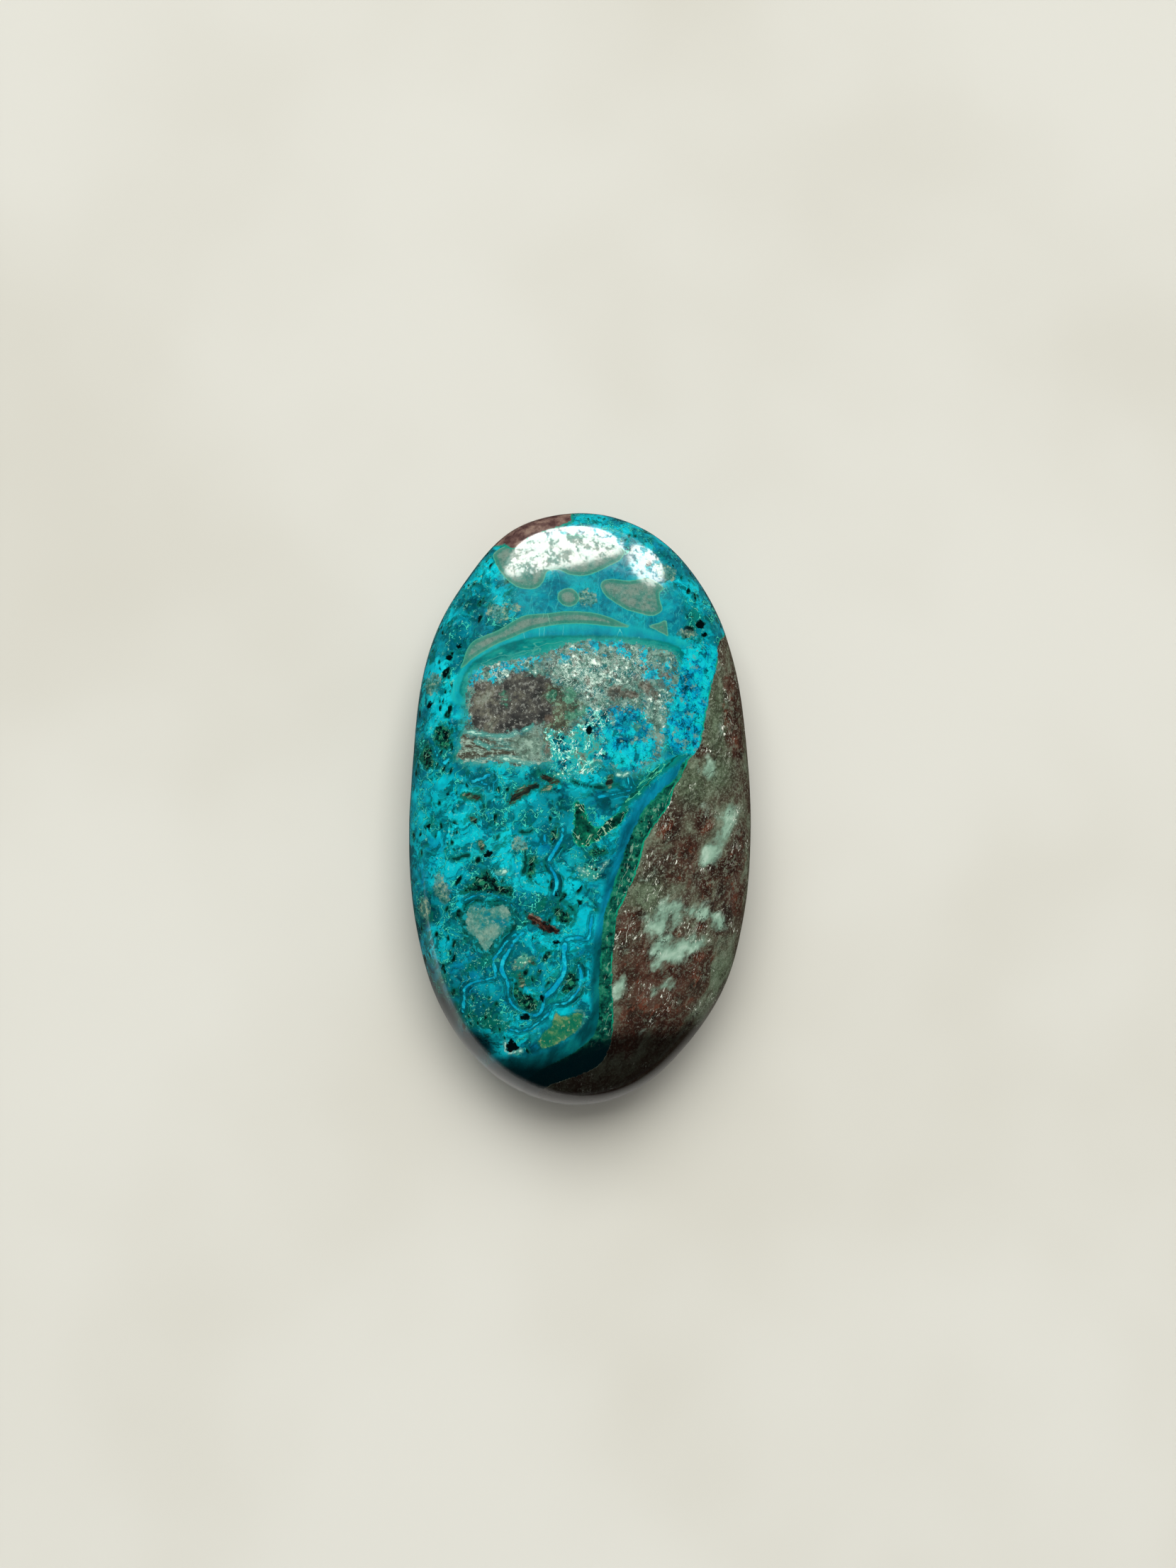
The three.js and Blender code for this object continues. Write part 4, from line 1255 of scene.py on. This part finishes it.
def paint_veins(paint):
    """Dark, blue and white veins that swell and fade, and the blue ones' cyan streaks and halo."""
    fading = paint.noise(0.55, 3.0, 0.55, 106.0)
    swell = (paint.noise(0.5, 2.0, 0.5, 44.0) - 0.5) * 0.3
    for name, halo_code, code, ragged, strength in (
        ("dark_veins", "#045a54", "#022e2a", 1.4, 0.95),
        ("light_veins", "#014852", "#0592ae", 1.0, 0.92),
        ("white_veins", "#3f827c", "#a2cabd", 1.8, 0.85),
    ):
        vein = paint.mark(name) + (paint.wobble + paint.crumble * 0.6) * ragged * 0.5 + swell
        paint.lay(halo_code, inside(vein - 0.14, 0.08) * fading.ramp(0.36, 0.48) * 0.85)
        paint.lay(code, inside(vein, 0.04) * strength * fading.ramp(0.32, 0.44))
    threads = paint.noise(1.6, 4.0, 0.65, 107.0)
    vein = paint.mark("light_veins") + swell + paint.wobble * 0.5
    blue = inside(vein, 0.05)
    paint.lay("#0278a6", threads.ramp(0.48, 0.44) * blue * 0.85)
    paint.lay("#1cb0c4", threads.ramp(0.53, 0.57) * blue * 0.7)
    paint.lay("#068aa8", paint.rim(vein, 0.32, 0.05) * fading.ramp(0.53, 0.60) * 0.6)
    paint.lay("#01404a", paint.rim(vein, 0.2, 0.06) * threads.ramp(0.42, 0.5) * 0.6)


def paint_splinters(paint):
    """Dark splinters, grained along their length in green and tan."""
    splinter = paint.edge("splinters", 1.2, 1.2)
    in_splinter = inside(splinter, 0.05)
    grained = paint.noise(1.8, 5.0, 0.7, 41.0, paint.stretched(20, 0.25))
    paint.lay("#065a50", inside(splinter - 0.15, 0.1) * 0.8)
    grains = paint.bands(
        grained,
        (0.40, "#0a1c1a"), (0.47, "#2c2a22"), (0.52, "#0c5a4a"), (0.57, "#6f7460"), (0.64, "#8f9a84"),
    )
    paint.lay(grains, in_splinter)


def paint_wedge(paint):
    """The dark green wedge, with black shards and crossing tan needles in its upper part."""
    wedge = paint.edge("wedge", 1.2, 1.0)
    tone = paint.noise(0.9, 5.0, 0.65, 93.0)
    in_wedge = inside(wedge, 0.07)
    greens = paint.bands(tone, (0.4, "#01201c"), (0.48, "#03382e"), (0.55, "#065642"), (0.63, "#0c7858"))
    paint.lay(greens, in_wedge)
    paint.lay("#109a7e", paint.rim(wedge, -0.03, 0.06) * 0.7)
    paint.lay("#01120f", inside(paint.shards(2.4, 0.3, 0.4), 0.04) * in_wedge * 0.85)
    tan = paint.needles(3.0, 0.035, 94.0, 60) + paint.needles(2.6, 0.035, 39.0, 130)
    upper = paint.noise(0.7, 2.0, 0.5, 100.0).ramp(0.40, 0.48)
    paint.lay("#86a88e", tan.ramp(0.3, 0.9) * upper * in_wedge * 0.85)


def paint_strand(paint):
    """The green strand, with dark and light fibres along it."""
    strand = paint.edge("strand", 1.2, 0.8)
    paint.lay("#04645a", inside(strand, 0.12) * 0.85)
    fibres = paint.stretched(38, 0.2, paint.shift(0.2, 1.0, 108.0))
    paint.lay("#023c34", paint.threads(1.3, 0.03, 109.0, fibres, 3.0) * inside(strand) * 0.9)
    paint.lay("#48ac88", paint.threads(1.8, 0.014, 95.0, fibres, 3.0) * inside(strand) * 0.9)


def paint_rust_streak(paint):
    """A slanting streak of rust and black, with tan bits."""
    streak = paint.mark("rust_streak") + 0.05 + paint.wobble * 1.2 + paint.crumble * 1.6
    in_streak = inside(streak, 0.05)
    paint.lay("#084640", inside(streak - 0.14, 0.1) * 0.75)
    bits = paint.noise(2.4, 5.0, 0.75, 29.0, paint.stretched(-35, 0.4))
    browns = paint.bands(
        bits, (0.42, "#0a0a0b"), (0.48, "#201614"), (0.53, "#40281f"), (0.58, "#574237"), (0.64, "#8f8478")
    )
    paint.lay(browns, in_streak)


def paint_nugget(paint, uneven):
    """The mossy nugget, green at its rim and tan in its middle."""
    nugget = paint.edge("nugget", 1.0, 0.8)
    moss = paint.noise(1.2, 5.0, 0.7, 96.0) * 0.8 + (nugget + 0.6).ramp(-0.4, 0.6) * 0.12
    in_nugget = inside(nugget, 0.05)
    paint.lay("#045650", inside(nugget - 0.12, 0.1) * 0.7)
    greens = paint.bands(
        moss, (0.40, "#085c48"), (0.46, "#18644a"), (0.51, "#306c4c"), (0.56, "#527852"), (0.62, "#707e58")
    )
    paint.lay(greens, in_nugget, 0.2)
    paint.fleck("#104a34", "#86946c", in_nugget * 0.45, 3.8, 104.0, 0.075)
    paint.lay("#7f8a62", paint.rim(nugget, -0.06, 0.07) * uneven.ramp(0.50, 0.58) * 0.8)


def paint_selvage(paint):
    """Deep blue, then the speckled green band along the host rock, with a bright wavy line at its edge."""
    blue = paint.edge("deep_blue", 0.8)
    in_blue = inside(blue, 0.3)
    lower = paint.mark("low_end").ramp(0.2, 0.9)
    run = paint.stretched(68, 0.3, paint.shift(0.4, 0.5, 105.0))
    tone = paint.noise(0.9, 5.0, 0.62, 101.0, run)
    blues = paint.bands(tone, (0.4, "#014658"), (0.48, "#025a70"), (0.56, "#046c88"), (0.66, "#057e92"))
    paint.lay(blues, in_blue)
    darker = paint.bands(tone, (0.4, "#013438"), (0.52, "#014a4e"), (0.64, "#04605f"))
    paint.lay(darker, in_blue * lower * 0.9)
    band = paint.edge("selvage", 0.7, 0.5)
    in_band = inside(band, 0.05)
    mix = paint.noise(1.4, 6.0, 0.72, 102.0)
    greens = paint.bands(
        mix, (0.38, "#011c1a"), (0.45, "#04342e"), (0.51, "#0a4e40"), (0.57, "#14644e"), (0.66, "#347a64")
    )
    paint.lay(greens, in_band, 0.18)
    middle = inside(band + 0.3, 0.12)
    paint.lay("#4c7868", mix.ramp(0.58, 0.61) * middle * 0.8)
    paint.lay("#021614", inside(paint.shards(2.6, 0.3, 0.42), 0.03) * in_band * 0.8)
    grit = paint.noise(3.6, 4.0, 0.75, 38.0)
    paint.lay("#5f8474", grit.ramp(0.64, 0.66) * middle * 0.7)
    paint.lay("#7fa290", paint.needles(3.2, 0.03, 114.0, 75) * middle * 0.55)
    uneven = paint.noise(0.7, 3.0, 0.6, 116.0)
    paint.lay("#08745a", paint.rim(band, -0.06, 0.1) * uneven.ramp(0.46, 0.6) * 0.8)
    # Near-black on the band in the dark patches at the wide end, partly painted shade; the bright line at
    # the host rock fades there too.
    paint.lay("#000a0d", lower * paint.dark.ramp(0.2, 0.9) * in_band * 0.9)
    host = paint.edge("host_rock", 0.9, 0.3)
    paint.lay("#098466", paint.rim(host, 0.07, 0.09) * uneven.ramp(0.38, 0.54) * paint.dark.ramp(0.7, 0.2))


def paint_host_rock(paint):
    """Brown and grey host rock in slanting blotches, with pale green lobes, rust, bright grains that are
    partly painted glints, and near-black at the wide end, partly painted shade.
    """
    host = paint.edge("host_rock", 0.9, 0.3)
    rock = inside(host, 0.04)
    slant = paint.stretched(52, 0.55, paint.shift(0.5, 0.6, 110.0))
    coarse = paint.noise(0.5, 6.0, 0.6, 111.0, slant)
    ground = paint.bands(
        coarse,
        (0.37, "#261c18"), (0.44, "#3a3029"), (0.50, "#464237"), (0.56, "#505648"), (0.65, "#616d5e"),
    )
    paint.lay(ground, rock, 0.2)
    near_olive = paint.mark("olive_rock").ramp(1.2, -0.8)
    olives = paint.bands(coarse, (0.4, "#303a2e"), (0.5, "#42513f"), (0.6, "#5a6b57"))
    paint.lay(olives, near_olive * rock * 0.8)
    near_red = paint.mark("red_rock").ramp(1.0, -0.5)
    blotch = paint.noise(0.8, 6.0, 0.6, 48.0, slant)
    rusty = paint.bands(
        blotch,
        (0.40, "#48342d"), (0.47, "#412a22"), (0.53, "#331e18"), (0.59, "#271511"), (0.67, "#180d0b"),
    )
    rusty_side = paint.mark("rusty")
    reddened = blotch * 0.7 + near_red * 0.16 + rusty_side * 0.16 + 0.15
    paint.lay(rusty, reddened.ramp(0.57, 0.68) * rock * 0.92)
    orange = paint.noise(1.4, 4.0, 0.65, 58.0, slant)
    paint.lay("#5c3022", orange.ramp(0.56, 0.62) * near_red * rock * 0.6)
    near_pale = paint.mark("pale_rock").ramp(1.0, -0.5)
    milk = paint.noise(0.8, 6.0, 0.62, 112.0, slant)
    milky = paint.bands(
        milk + near_pale * 0.05,
        (0.36, "#4f6d60"), (0.45, "#658576"), (0.53, "#739484"), (0.60, "#85a494"), (0.68, "#9db6a8"),
    )
    paled = milk * 0.75 + near_pale * 0.22 + 0.125
    in_milk = paled.ramp(0.57, 0.73) * rock * 0.92
    paint.lay(milky, in_milk)
    seams = paint.threads(0.8, 0.010, 117.0, slant, 5.0)
    some = paint.noise(0.5, 2.0, 0.5, 118.0).ramp(0.46, 0.54)
    paint.lay("#140e0b", seams * some * rock * 0.75)
    plain = rock * (1 - in_milk) * (1 - rusty_side * 0.5)
    paint.fleck("#1a1410", "#768272", plain * 0.4, 3.0, 113.0, 0.05, slant)
    paint.fleck("#241813", "#848e7e", plain * 0.35, 6.0, 37.0, 0.055)
    # Bright specks where the glints zone and noise say lit: pale grains of the rock, partly painted glints.
    lit = (paint.noise(0.6, 3.0, 0.6, 119.0) + paint.mark("glints") * 0.12).ramp(0.52, 0.64)
    grit = paint.noise(4.0, 3.0, 0.7, 28.0)
    paint.lay("#a6b0a2", grit.ramp(0.645, 0.66) * (lit * 0.85 + 0.1) * rock * 0.8, 0.4)
    paint.lay("#d4dad0", paint.needles(4.0, 0.022, 115.0, 72) * lit * rock * 0.9, 0.4)
    # Near-black over the rock in the dark patches: partly its own dark brown, partly painted shade.
    paint.lay("#0a0504", paint.dark.ramp(0.05, 1.0) * rock * 0.92)


def finish_material(paint):
    """Clear gloss over the paint, worn in small patches, and dull where the face is seen edge-on."""
    tree = paint.tree
    shader = tree.nodes.new("ShaderNodeBsdfPrincipled")
    shader.inputs["IOR"].default_value = 1.5
    shader.inputs["Specular IOR Level"].default_value = 0.0
    shader.inputs["Coat Roughness"].default_value = 0.1
    shader.inputs["Coat IOR"].default_value = 1.52
    feed(tree, paint.colour, shader.inputs["Base Color"])
    feed(tree, paint.roughness * 1.3, shader.inputs["Roughness"])
    worn = paint.noise(1.2, 6.0, 0.78, 123.0).ramp(0.49, 0.55)
    polish = paint.roughness.ramp(0.4, 0.1) * 0.4 + 0.6
    edge_on = Field(tree, tree.nodes.new("ShaderNodeLayerWeight").outputs["Facing"]).ramp(0.4, 0.75)
    normal = tree.nodes.new("ShaderNodeSeparateXYZ")
    tree.links.new(tree.nodes.new("ShaderNodeNewGeometry").outputs["Normal"], normal.inputs[0])
    flat = Field(tree, normal.outputs["Z"]).ramp(0.6, 0.9)
    feed(tree, polish * (1 - worn * flat * 0.8) * (1 - edge_on * flat * 0.96), shader.inputs["Coat Weight"])
    bump = tree.nodes.new("ShaderNodeBump")
    bump.inputs["Distance"].default_value = 0.02 * MM
    bump.inputs["Strength"].default_value = 1.0
    swell = paint.noise(0.9, 2.0, 0.5, 121.0) * 0.7 + paint.noise(5.0, 3.0, 0.6, 122.0) * 0.2
    feed(tree, swell, bump.inputs["Height"])
    tree.links.new(bump.outputs["Normal"], shader.inputs["Normal"])
    output = tree.nodes.new("ShaderNodeOutputMaterial")
    tree.links.new(shader.outputs["BSDF"], output.inputs["Surface"])
    return paint.material


# ---------------------------------------------------------------- surroundings
DAYLIGHT = (1.0, 0.985, 0.92)


def add_floor():
    """A pale matt surface. In the stone's polish alone it is painted dark, as shade round a hand, brownish
    to the right, and painted white light to the lower left.
    """
    size = 3.0
    mesh = bpy.data.meshes.new("floor")
    corners = [(-size, -size, 0), (size, -size, 0), (size, size, 0), (-size, size, 0)]
    mesh.from_pydata(corners, [], [(0, 1, 2, 3)])
    floor = bpy.data.objects.new("floor", mesh)
    bpy.context.scene.collection.objects.link(floor)
    paint = Painting("pale_floor", "#bebeba", 0.7)
    cloud = paint.noise(0.02, 3.0, 0.5)
    paint.lay("#b6b5af", cloud.ramp(0.4, 0.7))
    x, y, _ = paint.axes()
    # Seen only in the stone's polish: painted shade, brownish to the right as from a hand, and painted
    # white light to the lower left.
    open_side = y.ramp(-10, -34) * x.ramp(30, -10)
    shadowed = paint.bands(x.ramp(-30, 30), (0.0, "#262a2a"), (1.0, "#3c2c24"))
    paint.lay(shadowed, paint.reflected() * (1 - open_side))
    paint.lay("#ffffff", paint.reflected() * open_side)
    shader = paint.tree.nodes.new("ShaderNodeBsdfPrincipled")
    shader.inputs["Roughness"].default_value = 0.7
    shader.inputs["Specular IOR Level"].default_value = 0.0
    feed(paint.tree, paint.colour, shader.inputs["Base Color"])
    output = paint.tree.nodes.new("ShaderNodeOutputMaterial")
    paint.tree.links.new(shader.outputs["BSDF"], output.inputs["Surface"])
    mesh.materials.append(paint.material)


def add_window(name, place, size, power, shape="RECTANGLE", in_polish=False):
    """A soft light that faces the stone. It lights it, or is only seen in its polish."""
    light = bpy.data.lights.new(name, "AREA")
    light.shape = shape
    light.size, light.size_y = size
    light.energy = power
    light.color = DAYLIGHT
    holder = bpy.data.objects.new(name, light)
    holder.location = place
    holder.rotation_euler = Vector(place).to_track_quat("Z", "Y").to_euler()
    holder.visible_diffuse = not in_polish
    holder.visible_glossy = in_polish
    bpy.context.scene.collection.objects.link(holder)


def add_light():
    """A bright window past the narrow end, in two panes, and soft light from all round."""
    add_window("window", (-0.2, 1.5, 2.2), (2.8, 2.4), 118.0)
    add_window("left_pane", (-0.25, 2.15, 1.3), (2.3, 1.8), 250.0, "ELLIPSE", True)
    add_window("right_pane", (1.37, 2.15, 1.5), (0.75, 1.6), 60.0, "ELLIPSE", True)
    add_window("haze", (0.1, 2.2, 1.25), (3.4, 2.0), 22.0, "ELLIPSE", True)
    world = bpy.data.worlds.new("studio")
    bpy.context.scene.world = world
    world.use_nodes = True
    tree = world.node_tree
    background = tree.nodes["Background"]
    path = tree.nodes.new("ShaderNodeLightPath")
    direction = tree.nodes.new("ShaderNodeTexCoord")
    split = tree.nodes.new("ShaderNodeSeparateXYZ")
    tree.links.new(direction.outputs["Generated"], split.inputs[0])
    x, y, z = (Field(tree, output) for output in split.outputs)
    low_down = z.ramp(0.2, -0.05)
    open_side = x.ramp(0.6, -0.4) * y.ramp(-0.1, -0.8)
    in_polish = Field(tree, path.outputs["Is Glossy Ray"])
    seen = low_down * (open_side * 0.9 + 0.1) + 0.006
    all_round = 0.46
    background.inputs["Color"].default_value = (1.0, 0.985, 0.93, 1.0)
    feed(tree, in_polish * seen + (1 - in_polish) * all_round, background.inputs["Strength"])


def add_camera():
    """Looks almost straight down, leaning a little towards the wide end and the left."""
    lean = math.radians(8.0)
    heading = math.radians(225.0)
    distance = 227.0
    aim = np.array([0.47, 1.68, 6.0])
    sideways = math.sin(lean)
    back = np.array([sideways * math.cos(heading), sideways * math.sin(heading), math.cos(lean)])
    right = np.cross([0, 1, 0], back)
    right /= np.linalg.norm(right)
    up = np.cross(back, right)
    data = bpy.data.cameras.new("camera")
    data.lens = 65.0
    data.sensor_width = 36.0
    data.clip_start = 0.01
    camera = bpy.data.objects.new("camera", data)
    where = (aim + distance * back) * MM
    turn = Matrix(np.stack([right, up, back], -1).tolist()).to_4x4()
    camera.matrix_world = Matrix.Translation(where.tolist()) @ turn
    bpy.context.scene.collection.objects.link(camera)
    bpy.context.scene.camera = camera


add_camera()
stone = build_stone()
stone.data.materials.append(polished_stone())
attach(stone, "root")
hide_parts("stone")
add_floor()
add_light()
bpy.context.scene.view_settings.view_transform = "Standard"
